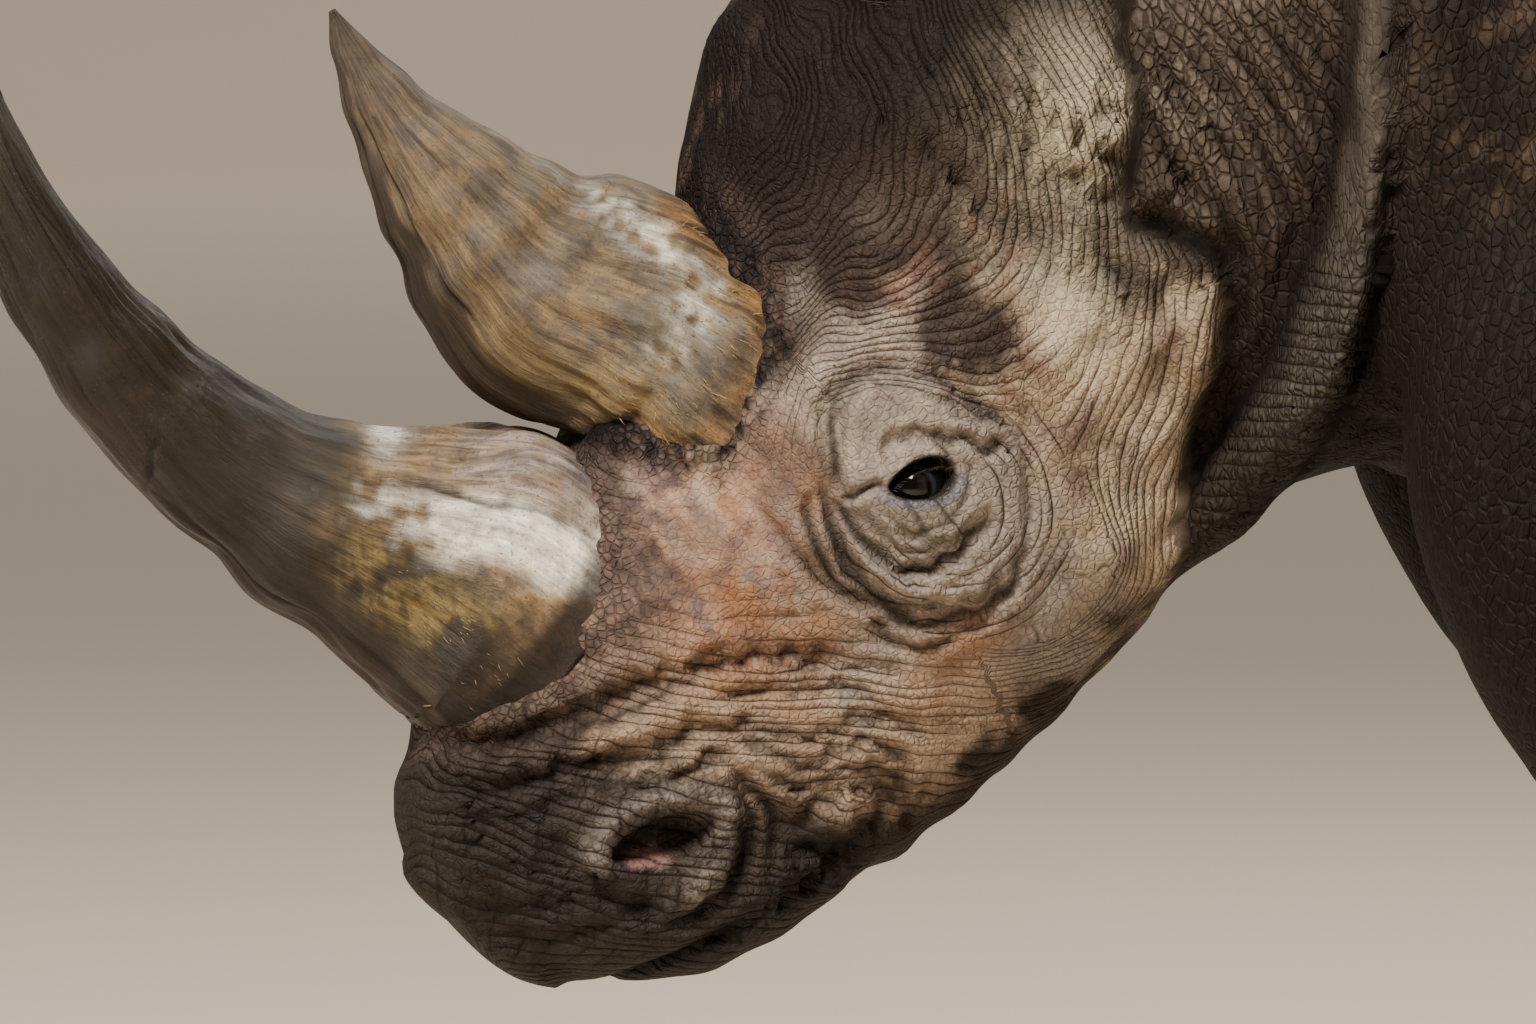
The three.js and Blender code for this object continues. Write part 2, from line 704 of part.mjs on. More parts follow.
// The line of the mouth, a thin curved sheet that cuts only the outermost flesh.
const MOUTH = [
  [188, -112],
  [210, -111],
  [241, -101],
  [270, -85],
  [291, -74],
  [326, -58],
  [352, -52],
  [400, -48],
];
const MOUTH_GAP = 5;
const MOUTH_DEPTH = 9;
function mouthLine() {
  const edge = (side) => MOUTH.map(([along, up]) => new THREE.Vector2(along, up + side));
  const shape = new THREE.Shape([...edge(-MOUTH_GAP / 2), ...edge(MOUTH_GAP / 2).reverse()]);
  const sheet = new THREE.ExtrudeGeometry(shape, { depth: 240, bevelEnabled: false });
  const turn = new THREE.Matrix4().makeBasis(HEAD.along, HEAD.up, HEAD.side.clone().negate());
  sheet.applyMatrix4(turn.setPosition(world(HEAD, 0, 120, 0)));
  const inner = (x, y, z) => headField(x, y, z) + MOUTH_DEPTH;
  const core = net(inner, HEAD, [140, -120, -190], [400, 120, 60], [20, 18, 18]);
  return solidOf(sheet).subtract(core);
}

const EAR = [
  // along the ear, radius, half of the turn it wraps, thickness
  [-16, 33, 160, 13],
  [18, 36, 150, 11],
  [60, 44, 128, 9],
  [105, 51, 106, 8],
  [150, 46, 92, 7],
  [185, 32, 84, 6],
  [208, 15, 78, 5],
  [218, 5, 72, 3.5],
];
const EAR_SPREAD = 0.3; // how far the ears lean outwards
const EAR_POINTS = 9;
function earSolid(side, grow) {
  const frame = headSide(side);
  const along = frame.up
    .clone()
    .multiplyScalar(0.88)
    .addScaledVector(frame.along, -0.38)
    .addScaledVector(frame.side, EAR_SPREAD)
    .normalize();
  const mouth = frame.along.clone().multiplyScalar(0.8).addScaledVector(frame.side, 0.75);
  mouth.addScaledVector(along, -mouth.dot(along)).normalize();
  const across = along.clone().cross(mouth);
  const root = world(frame, -232, 96, 118);
  const rings = EAR.map(([place, radius, wrap, thick], i) => {
    const sunk = i === 0 ? grow : 0;
    const centre = root.clone().addScaledVector(along, place - sunk);
    const arc = (r, extra) =>
      Array.from({ length: EAR_POINTS }, (_, n) => {
        const turn = radians(wrap + extra) * ((2 * n) / (EAR_POINTS - 1) - 1);
        return centre
          .clone()
          .addScaledVector(mouth, -Math.cos(turn) * r)
          .addScaledVector(across, Math.sin(turn) * r);
      });
    const extra = THREE.MathUtils.radToDeg(grow / radius);
    return [...arc(radius + grow, extra), ...arc(radius - thick - grow, extra).reverse()];
  });
  return leaf(rings);
}

// Three nails to a foot, the middle one broadest: [turn from straight ahead, half breadth].
const NAILS = { inner: [-58, 36], middle: [0, 48], outer: [58, 36] };
const FOOT = { length: 120, breadth: 112 };
function nailSolid(name, which, grow) {
  const { side, foot, inset } = LEGS[name];
  const [degrees, half] = NAILS[which];
  const turn = radians(degrees);
  const [fore, out] = [Math.cos(turn), Math.sin(turn) * side];
  const centre = vector(
    foot - fore * (FOOT.length - 16),
    side * (250 - inset) + out * (FOOT.breadth - 16),
    36,
  );
  const outward = vector(-fore, out, 0).multiplyScalar(24 + grow);
  const along = vector(out, fore, 0).multiplyScalar(half + grow);
  const nail = ball(centre, along, outward, vector(0, 0, NAIL_GROWTH + grow), [10, 6]);
  return nail;
}

// A flat tapered lock of hair, diamond in section, from its root down its run.
function lock(root, run, across, thickness) {
  const share = [0.75, 1, 0.7, 0.12];
  const through = across.clone().cross(run).normalize().multiplyScalar(thickness);
  const rings = share.map((size, i) => {
    const centre = root.clone().addScaledVector(run, i / (share.length - 1));
    return [across, through, across.clone().negate(), through.clone().negate()].map((way) =>
      centre.clone().addScaledVector(way, size),
    );
  });
  return loft(rings);
}
const TAIL = [
  // back, up, half thickness, half breadth
  [2262, 1238, 44, 46],
  [2312, 1216, 43, 44],
  [2352, 1162, 37, 37],
  [2382, 1070, 29, 28],
  [2400, 960, 24, 23],
  [2407, 860, 21, 20],
  [2407, 760, 18, 17],
  [2405, 690, 15, 15],
  [2404, 662, 7, 7],
];
const tailSolid = (grow) => bent(TRUNK, TAIL, 12, grow);
// Locks of the tail: [height of root, behind (+) or before (-), to the left, length, swing].
const LOCKS = [
  [880, -1, 0.1, 170, 16],
  [870, 1, -0.1, 180, 20],
  [810, -1, 0.5, 175, 12],
  [805, 1, -0.5, 180, 16],
  [760, -1, -0.6, 165, 6],
  [750, 1, 0.6, 165, 9],
  [720, -0.3, 0.9, 150, 4],
  [715, 0.3, -0.9, 145, 3],
  [700, 0, 0, 150, 0],
];
const tailLocks = () =>
  LOCKS.map(([up, back, left, length, swing]) => {
    const root = vector(2406 + back * 9, -left * 9, up);
    const run = vector(back * swing, -left * swing, -length);
    const across = vector(back || 1, -0.35 * left, 0).normalize().multiplyScalar(16);
    return lock(root, run, across, 6);
  });

// ---------------------------------------------------------------- assembling

const MATERIALS = {
  skin: new THREE.MeshStandardMaterial({ color: 0x6d6058, roughness: 0.85 }),
  horn: new THREE.MeshStandardMaterial({ color: 0x8b7d66, roughness: 0.6 }),
  nail: new THREE.MeshStandardMaterial({ color: 0x4a4038, roughness: 0.7 }),
  eye: new THREE.MeshStandardMaterial({ color: 0x1c1411, roughness: 0.1 }),
};
const rhino = new THREE.Group();
const add = (name, solid, material) => {
  const mesh = new THREE.Mesh(geometryOf(solidOf(geometryOf(solid), WELD)), MATERIALS[material]);
  mesh.name = name;
  rhino.add(mesh);
};
const SIDES = { left: -1, right: 1 };

let head = headSolid();
for (const side of Object.values(SIDES)) {
  head = head.add(lidDome(side)).subtract(lidOpening(side)).subtract(nostril(side));
  head = head.subtract(eyeBall(side, GAP)).subtract(earSolid(side, GAP));
}
head = head.subtract(hornSolid(HORN_FRONT, GAP)).subtract(hornSolid(HORN_REAR, GAP));
head = head.subtract(mouthLine());
add("head", largest(head), "skin");
add("horn_front", hornSolid(HORN_FRONT, 0), "horn");
add("horn_rear", hornSolid(HORN_REAR, 0), "horn");
for (const [word, side] of Object.entries(SIDES)) {
  add(`eye_${word}`, eyeBall(side, 0), "eye");
  add(`ear_${word}`, earSolid(side, 0), "skin");
}
const neck = Object.values(SIDES).reduce((rest, side) => rest.subtract(earSolid(side, GAP)), neckSolid());
add("neck", largest(neck), "skin");
add("torso", largest(trunkSolid().subtract(tailSolid(GAP))), "skin");
add("tail", tailLocks().reduce((tail, hair) => tail.add(hair), tailSolid(0)), "skin");
for (const name of Object.keys(LEGS)) {
  let leg = legSolid(name);
  for (const which of Object.keys(NAILS)) {
    leg = leg.subtract(nailSolid(name, which, GAP));
    add(`${name.replace("leg", "foot")}_nail_${which}`, nailSolid(name, which, 0), "nail");
  }
  add(name, largest(leg), "skin");
}

// The origin is on the ground, at the middle of the animal's length and breadth.
const extent = new THREE.Box3().setFromObject(rhino);
const middle = extent.getCenter(vector(0, 0, 0));
rhino.position.set(-middle.x, -middle.y, 0);

export default rhino;
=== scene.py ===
"""Black rhinoceros, life size: skin, horns, eyes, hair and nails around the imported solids.

The sculpting works in millimetres in the animal's own frame: it faces -X, its left side is
-Y and it stands on z = 0. Meshes are in metres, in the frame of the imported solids.
"""

from __future__ import annotations

import logging
import math
from dataclasses import dataclass, field
from enum import Enum
from typing import Callable, Sequence

import bmesh
import bpy
import numpy as np
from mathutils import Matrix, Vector

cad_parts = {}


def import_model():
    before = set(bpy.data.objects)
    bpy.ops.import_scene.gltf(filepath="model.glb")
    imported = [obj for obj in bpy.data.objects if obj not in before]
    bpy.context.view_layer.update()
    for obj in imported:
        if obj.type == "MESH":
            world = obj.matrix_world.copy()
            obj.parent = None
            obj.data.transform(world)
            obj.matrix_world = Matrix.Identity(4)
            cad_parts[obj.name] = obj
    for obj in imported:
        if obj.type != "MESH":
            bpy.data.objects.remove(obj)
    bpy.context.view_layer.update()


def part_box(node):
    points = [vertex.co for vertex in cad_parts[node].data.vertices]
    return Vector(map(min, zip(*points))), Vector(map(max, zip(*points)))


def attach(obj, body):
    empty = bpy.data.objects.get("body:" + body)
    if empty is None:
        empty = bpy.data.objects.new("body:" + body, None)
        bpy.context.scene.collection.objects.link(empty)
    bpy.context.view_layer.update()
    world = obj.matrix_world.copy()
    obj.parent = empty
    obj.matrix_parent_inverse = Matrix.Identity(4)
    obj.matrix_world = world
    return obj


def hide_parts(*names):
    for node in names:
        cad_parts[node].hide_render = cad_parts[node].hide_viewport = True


LOG = logging.getLogger("rhinoceros")
METRES = 0.001
TURN = 2 * math.pi

Array = np.ndarray
Field = Callable[[Array], Array]
Four = tuple[float, float, float, float]  # a colour, a box of the unwrap or a row

# ------------------------------------------------------------------ driving dimensions

EYE_HEIGHT = 620.0
EYE_SEAT = 110.0  # from the head's middle plane to an eyeball's centre
EYE_RADIUS = 20.0
HEAD_PITCH = math.radians(52)
HEAD_YAW = math.radians(15)
HEAD_SIDE = -45.0
NECK_PITCH = math.radians(28)
LID_SLANT = math.radians(36)
STANCE = 250.0  # from the middle plane to the line that the legs are set in from


class Piece(Enum):
    """Names of the scene's own pieces."""

    SKIN = "skin"
    HORN_FRONT = "horn_front_shell"
    HORN_REAR = "horn_rear_shell"
    EYES = "eyeballs"
    LASHES = "lashes"
    EAR_HAIR = "ear_hair"
    TAIL_HAIR = "tail_hair"
    NAILS = "nail_plates"
    FIBRES = "horn_fibres"
    FLOOR = "studio_floor"


# ------------------------------------------------------------------ frames, curves and noise


@dataclass(frozen=True)
class Axes:
    """An origin with three unit directions: along, side (the animal's left) and up."""

    origin: Array
    along: Array
    side: Array
    up: Array

    def local(self, points: Array) -> Array:
        """Places of points on the three directions."""
        return (points - self.origin) @ np.stack([self.along, self.side, self.up], axis=1)

    def world(self, local: Array) -> Array:
        """Points that lie at the given places on the three directions."""
        return self.origin + np.asarray(local, float) @ np.stack([self.along, self.side, self.up])

    def mirrored(self) -> "Axes":
        """The same frame with its side turned to the animal's right."""
        return Axes(self.origin, self.along, -self.side, self.up)


def pitched(origin: Sequence[float], pitch: float, yaw: float) -> Axes:
    """A frame that points forward, tipped down by pitch and turned left by yaw.

    Args:
        origin: Its origin, in millimetres.
        pitch: Angle below level, in radians.
        yaw: Angle to the animal's left, in radians.

    Returns:
        The frame.
    """
    level = np.array([-math.cos(yaw), -math.sin(yaw), 0.0])
    side = np.array([math.sin(yaw), -math.cos(yaw), 0.0])
    rise = np.array([0.0, 0.0, 1.0])
    along = level * math.cos(pitch) - rise * math.sin(pitch)
    up = level * math.sin(pitch) + rise * math.cos(pitch)
    return Axes(np.array(origin, float), along, side, up)


HEAD = pitched((0, HEAD_SIDE, EYE_HEIGHT), HEAD_PITCH, HEAD_YAW)
_neck_run = np.array([math.cos(NECK_PITCH), 0.04, math.sin(NECK_PITCH)])
NECK = Axes(
    np.array([60.0, -20.0, 775.0]),
    _neck_run / np.linalg.norm(_neck_run),
    np.array([0.0, -1.0, 0.0]),
    np.array([-math.sin(NECK_PITCH), 0.0, math.cos(NECK_PITCH)]),
)
TRUNK = Axes(np.zeros(3), np.array([1.0, 0, 0]), np.array([0, -1.0, 0]), np.array([0, 0, 1.0]))
UPRIGHT = Axes(np.zeros(3), np.array([0, 0, 1.0]), np.array([0, -1.0, 0]), np.array([-1.0, 0, 0]))


class Curve:
    """A smooth curve through a table's rows, whose first column is the place along."""

    def __init__(self, table: Sequence[Sequence[float]], samples: int = 500) -> None:
        """Samples a cubic that leaves each row with the mean slope of its neighbours."""
        rows = np.array(table, float)
        self.rows = rows
        self.grid = np.linspace(rows[0, 0], rows[-1, 0], samples)
        last = len(rows) - 1
        i = np.clip(np.searchsorted(rows[:, 0], self.grid, side="left") - 1, 0, last - 1)
        before, a = rows[np.maximum(i - 1, 0)], rows[i]
        b, after = rows[i + 1], rows[np.minimum(i + 2, last)]
        span = b[:, :1] - a[:, :1]
        h = (self.grid[:, None] - a[:, :1]) / span
        leaving = (b - before) / (b[:, :1] - before[:, :1]) * span
        coming = (after - a) / (after[:, :1] - a[:, :1]) * span
        h2, h3 = h * h, h * h * h
        start, end = (2 * h3 - 3 * h2 + 1) * a, (3 * h2 - 2 * h3) * b
        self.columns = start + (h3 - 2 * h2 + h) * leaving + end + (h3 - h2) * coming

    def at(self, place: Array) -> list[Array]:
        """The table's other columns at each place."""
        return [np.interp(place, self.grid, column) for column in self.columns.T[1:]]


def wobble(points: Array, length: float, seed: int, count: int = 12) -> Array:
    """Smooth noise: the scaled sum of sine waves that run in random directions.

    Args:
        points: Where to read it.
        length: The usual wavelength.
        seed: Picks the directions.
        count: How many waves are added.

    Returns:
        One value a point, mostly between -1.5 and 1.5.
    """
    rng = np.random.default_rng(seed)
    ways = rng.normal(size=(count, points.shape[1]))
    pitch = TURN / length * rng.uniform(0.6, 1.7, (count, 1))
    ways *= pitch / np.linalg.norm(ways, axis=1, keepdims=True)
    phase = rng.uniform(0, TURN, count)
    return np.sin(points @ ways.T + phase).sum(axis=1) / math.sqrt(count / 2)


def step_up(value: Array, low: float, high: float) -> Array:
    """Rises smoothly from 0 at low to 1 at high."""
    t = np.clip((value - low) / (high - low), 0, 1)
    return t * t * (3 - 2 * t)


def swell(p: Array, centre: Sequence[float], radii: Sequence[float]) -> Array:
    """A soft swelling, 1 at its centre and fading over its radii."""
    return np.exp(-(((p - np.array(centre, float)) / np.array(radii, float)) ** 2).sum(axis=1))


def join(a: Array, b: Array, soft: float) -> Array:
    """The lower of two fields, blended over soft where they meet."""
    h = np.maximum(soft - np.abs(a - b), 0) / soft
    return np.minimum(a, b) - h * h * soft / 4


def carve(a: Array, b: Array, soft: float) -> Array:
    """Field a with body b cut out of it, its edge rounded over soft."""
    return -join(-a, b, soft)


def unit(way: Array) -> Array:
    """Directions scaled to a length of 1."""
    return way / np.linalg.norm(way, axis=-1, keepdims=True)


def turns(count: int) -> Array:
    """Angles of a ring's points, evenly spaced from 0."""
    return np.arange(count) / count * 2 * math.pi


def lattice(down: Array, across: Array) -> tuple[Array, Array]:
    """Both values at each point of a grid, row by row."""
    first, second = np.meshgrid(down, across, indexing="ij")
    return first.ravel(), second.ravel()


def wrapped(turn: Array, radius: float, along: Array) -> Array:
    """Places on a cylinder, where noise closes on itself round a body."""
    return np.stack([np.cos(turn) * radius, np.sin(turn) * radius, along], axis=1)


def folded(p: Array) -> tuple[Array, Array, Array]:
    """Places in the head's frame: along, out from its middle plane on either side, and up."""
    return p[:, 0], np.abs(p[:, 1]), p[:, 2]


# ------------------------------------------------------------------ the flesh as one field

FAR = 1e3  # what a body's field reads where the body is out of reach
REACH = 170.0  # how far from a body its field is still worked out


@dataclass
class Tube:
    """Roughly the distance to a tube of superelliptic slices along a frame.

    Its rows are [along, side, up, half width, reach up, reach down], and caps round its ends.
    """

    axes: Axes
    rows: Sequence[Sequence[float]]
    caps: tuple[float, float]
    power: float = 2.3

    def __post_init__(self) -> None:
        """Works out its curve and the box that its field is read in."""
        self.curve = Curve(self.rows)
        c = self.curve.columns
        low = (c[0, 0] - self.caps[0], (c[:, 1] - c[:, 3]).min(), (c[:, 2] - c[:, 5]).min())
        high = (c[-1, 0] + self.caps[1], (c[:, 1] + c[:, 3]).max(), (c[:, 2] + c[:, 4]).max())
        self.low, self.high = np.array(low) - REACH, np.array(high) + REACH

    def __call__(self, points: Array) -> Array:
        """The field at each point, negative inside."""
        out = np.full(len(points), FAR)
        local = self.axes.local(points)
        near = ((local > self.low) & (local < self.high)).all(axis=1)
        a, s, u = local[near].T
        side, up, half, top, bottom = self.curve.at(a)
        first, end = self.curve.grid[0], self.curve.grid[-1]
        cap = np.where(a < first, self.caps[0], self.caps[1])
        past = np.where(a < first, first - a, np.maximum(0, a - end)) / cap
        across = np.abs(s - side) / half
        reach = np.where(u > up, top, bottom)
        rise = np.abs(u - up) / reach
        n = self.power
        q = (across**n + rise**n + past**n + 1e-9) ** (1 / n)
        steep = (across ** (n - 1) / half) ** 2 + (rise ** (n - 1) / reach) ** 2
        steep = np.sqrt(steep + (past ** (n - 1) / cap) ** 2)
        out[near] = (q - 1) * q ** (n - 1) / (steep + 1e-6)
        return out


def lump(axes: Axes, p: Array, centre: Sequence[float], radii: Sequence[float], twin: bool = True) -> Array:
    """Roughly the distance to an ellipsoid in a frame, on both sides of it if twin."""
    local = axes.local(p)
    if twin:
        local[:, 1] = np.abs(local[:, 1])
    scaled = (local - np.array(centre, float)) / np.array(radii, float)
    q = np.linalg.norm(scaled, axis=1)
    return q * (q - 1) / (np.linalg.norm(scaled / np.array(radii, float), axis=1) + 1e-6)


TORSO = Tube(
    TRUNK,
    [
        [400, 0, 960, 235, 380, 350],
        [600, 0, 990, 318, 500, 430],
        [800, 0, 985, 362, 492, 450],
        [1050, 0, 960, 392, 448, 445],
        [1300, 0, 945, 402, 437, 435],
        [1550, 0, 960, 400, 445, 425],
        [1800, 0, 1010, 375, 435, 420],
        [2000, 0, 1040, 330, 400, 370],
        [2170, 0, 1060, 255, 330, 290],
    ],
    (130, 165),
    2.2,
)
NECK_FORM = Tube(
    NECK,
    [
        [0, 0, 0, 122, 170, 150],
        [150, 0, 0, 150, 205, 205],
        [300, 0, 0, 195, 262, 275],
        [450, 0, 5, 240, 330, 345],
        [600, 0, 0, 262, 370, 400],
    ],
    (90, 160),
)
HEAD_FORM = Tube(
    HEAD,
    [
        [-235, 0, 60, 98, 160, 170],
        [-155, 0, 40, 122, 176, 190],
        [-100, 0, 25, 132, 178, 200],
        [-40, 0, 10, 128, 175, 198],
        [20, 0, 2, 116, 168, 187],
        [80, 0, 2, 98, 160, 180],
        [140, 0, 2, 87, 153, 168],
        [200, 0, 8, 82, 138, 152],
        [255, 0, 10, 80, 127, 134],
        [300, 0, 8, 76, 115, 102],
        [332, 0, 22, 60, 84, 82],
        [350, 0, 32, 40, 52, 66],
    ],
    (60, 16),
    2.35,
)
# Swellings (+) and hollows (-) of both sides of the head: height, centre, radii.
HEAD_RELIEF = (
    (-26, (-30, 88, 140), (62, 40, 46)),
    (-9, (25, 92, 118), (50, 34, 36)),
    (8, (88, 55, 140), (34, 34, 34)),
    (10, (4, 118, -14), (70, 60, 78)),
    (9, (-20, 100, 62), (60, 50, 34)),
    (8, (-110, 130, 0), (70, 50, 42)),
    (12, (-55, 95, -125), (80, 60, 60)),
    (-9, (110, 95, -20), (55, 40, 60)),
    (-7, (60, 90, 95), (50, 45, 45)),
    (8, (262, 78, -22), (42, 40, 34)),
    (9, (345, 0, -6), (30, 60, 34)),
    (7, (292, 40, -96), (46, 60, 26)),
    (-6, (215, 85, -66), (30, 40, 20)),
    (10, (-150, 0, 215), (70, 60, 40)),
)
# The roll of skin before the shoulder: up, place behind the eyes, half breadth, height.
ROLL = Curve(
    [
        [600, 236, 34, 26],
        [650, 262, 36, 34],
        [710, 288, 36, 34],
        [785, 304, 34, 30],
        [905, 312, 32, 26],
        [1080, 338, 30, 16],
        [1300, 410, 30, 4],
    ]
)


@dataclass(frozen=True)
class Leg:
    """One leg: its side (-1 is the animal's left), where its foot stands and its slices.

    A slice is [up, inset, behind, half width, front, rear]; shift moves the foot backwards,
    fading out at the height of the joint above.
    """

    side: int
    foot: float
    inset: float
    shift: float
    fade: float
    top_cap: float
    slices: tuple[tuple[float, ...], ...]

    def tube(self) -> Tube:
        """The leg's body."""
        rows = []
        for up, inset, behind, half, front, rear in self.slices:
            moved = behind + self.shift * max(0.0, 1 - up / self.fade)
            rows.append([up, -self.side * (STANCE - inset), -moved, half, front, rear])
        return Tube(UPRIGHT, rows, (18, self.top_cap), 2.2)


FORE = (
    (8, 8, 600, 112, 120, 112),
    (60, 8, 604, 106, 112, 106),
    (110, 10, 612, 88, 92, 90),
    (180, 12, 604, 76, 84, 82),
    (260, 12, 590, 80, 96, 86),
    (330, 8, 572, 88, 110, 94),
    (420, 0, 535, 98, 126, 112),
    (520, -6, 505, 112, 160, 142),
    (640, -2, 500, 120, 190, 175),
    (800, 20, 540, 110, 200, 190),
)
HIND = (
    (8, 22, 2030, 106, 116, 108),
    (60, 22, 2034, 100, 108, 102),
    (110, 24, 2048, 84, 90, 86),
    (190, 26, 2072, 72, 78, 78),
    (290, 26, 2098, 74, 86, 84),
    (380, 24, 2110, 80, 100, 96),
    (450, 20, 2098, 86, 118, 110),
    (540, 14, 2060, 100, 160, 138),
    (660, 6, 2010, 128, 232, 190),
    (800, 6, 1990, 150, 262, 232),
    (960, 30, 1990, 160, 262, 250),
)
LEGS = {
    "foreleg_left": Leg(-1, 600, 8, 0, 620, 180, FORE),
    "foreleg_right": Leg(1, 695, 8, 95, 620, 180, FORE),
    "hindleg_left": Leg(-1, 2090, 22, 60, 700, 200, HIND),
    "hindleg_right": Leg(1, 1910, 22, -120, 700, 200, HIND),
}
FLESH_NODES = ("head", "neck", "torso", "tail", *LEGS, "ear_left", "ear_right")


def side_height(l: Array, v: Array) -> Array:
    """Height up the side of the head measured over the skin, from the turn about its middle."""
    return 100 * np.arctan2(v + 10, l + 25)


def eye_ring(s: Array, v: Array) -> tuple[Array, Array]:
    """Distance from the middle of the eye's bag, on its rounded oval, and the turn about it."""
    return np.hypot((s - 4) / 0.92, (v + 15) / 1.04), np.arctan2(v + 15, s - 4)


def flow_past_eye(s: Array, w: Array) -> tuple[Array, Array]:
    """Arcs about a point above the forehead that part round the eye's bag.

    With y the distance below the arc through the bag's middle and x the way along it, the
    stream is y(1 - R2/r2) and the potential x(1 + R2/r2).

    Args:
        s: Place along the head.
        w: Height up the side of the head, measured over the skin.

    Returns:
        The stream (across the folds) and the potential (along them), in millimetres.
    """
    over, ahead = 230.0, -77.0  # the arcs' centre
    bag_s, bag_w, bag, core = 2.0, -14.0, 66.0, 20.0  # the bag's middle, radius and calm core
    radius = np.hypot(s - ahead, w - over)
    turn = np.arctan2(over - w, s - ahead)
    far = math.hypot(bag_s - ahead, bag_w - over)
    y = radius - far
    x = far * (math.atan2(over - bag_w, bag_s - ahead) - turn)
    bend = np.minimum(bag**2 / (x * x + y * y + core**2), 0.97)
    return y * (1 - bend), x * (1 + bend)


@dataclass
class Crease:
    """One deep crease: its half width, its depth and the line that it follows, in millimetres."""

    width: float
    depth: float
    line: Sequence[tuple[float, float]]

    def __post_init__(self) -> None:
        """Rounds the line off with a curve through its points, four steps to a span."""
        stops = np.array(self.line, float)
        ends = np.concatenate([[2 * stops[0] - stops[1]], stops, [2 * stops[-1] - stops[-2]]])
        t = np.linspace(0, 1, 4, endpoint=False)[:, None]
        spans = []
        for a, b, c, d in zip(ends[:-3], ends[1:-2], ends[2:-1], ends[3:]):
            bend, twist = 2 * a - 5 * b + 4 * c - d, 3 * b - a - 3 * c + d
            spans.append(0.5 * (2 * b + (c - a) * t + bend * t**2 + twist * t**3))
        self.stops = np.concatenate([*spans, stops[-1:]])
        self.low = self.stops.min(axis=0) - 4 * self.width
        self.high = self.stops.max(axis=0) + 4 * self.width

    def at(self, q: Array) -> tuple[Array, Array]:
        """How far each point is from the line, and how strong the crease is beside it."""
        start, run = self.stops[:-1], np.diff(self.stops, axis=0)
        away = q[:, None] - start
        t = np.clip((away * run).sum(-1) / (run * run).sum(-1), 0, 1)
        gap = np.linalg.norm(away - t[..., None] * run, axis=-1)
        nearest = gap.argmin(axis=1)
        row = np.arange(len(q))
        share = (nearest + t[row, nearest]) / len(run)
        return gap[row, nearest], np.clip(share * (1 - share) * 9, 0, 1) ** 0.7


def pressed(creases: Sequence[Crease], q: Array, waver: Array) -> tuple[Array, Array]:
    """What creases do to a surface seen from the side.

    A crease adds depth * (exp(-(r/w)^2) - 0.36 exp(-((r - 2.1w)/1.3w)^2)), so that it is
    pressed in along its line and swells on both sides of it.

    Args:
        creases: The creases.
        q: The points, on the two directions that the creases are drawn on.
        waver: Sideways unevenness at each point.

    Returns:
        How far in each point is pressed, and how much painted shade its crease gives it, 0 to 1.
    """
    inward, dark = np.zeros(len(q)), np.zeros(len(q))
    shaken = q + np.stack([waver, -waver], axis=1)
    for crease in creases:
        close = ((q > crease.low) & (q < crease.high)).all(axis=1)
        if not close.any():
            continue
        gap, strength = crease.at(shaken[close])
        w = crease.width
        shape = np.exp(-((gap / w) ** 2)) - 0.36 * np.exp(-(((gap - 2.1 * w) / (1.3 * w)) ** 2))
        inward[close] += crease.depth * strength * shape
        # Painted shade: how much the colour is darkened along the crease, where shade falls in it.
        seen = np.exp(-((gap / (0.75 * w)) ** 2)) * strength * min(1.0, crease.depth / 5)
        dark[close] = np.maximum(dark[close], seen)
    return inward, dark


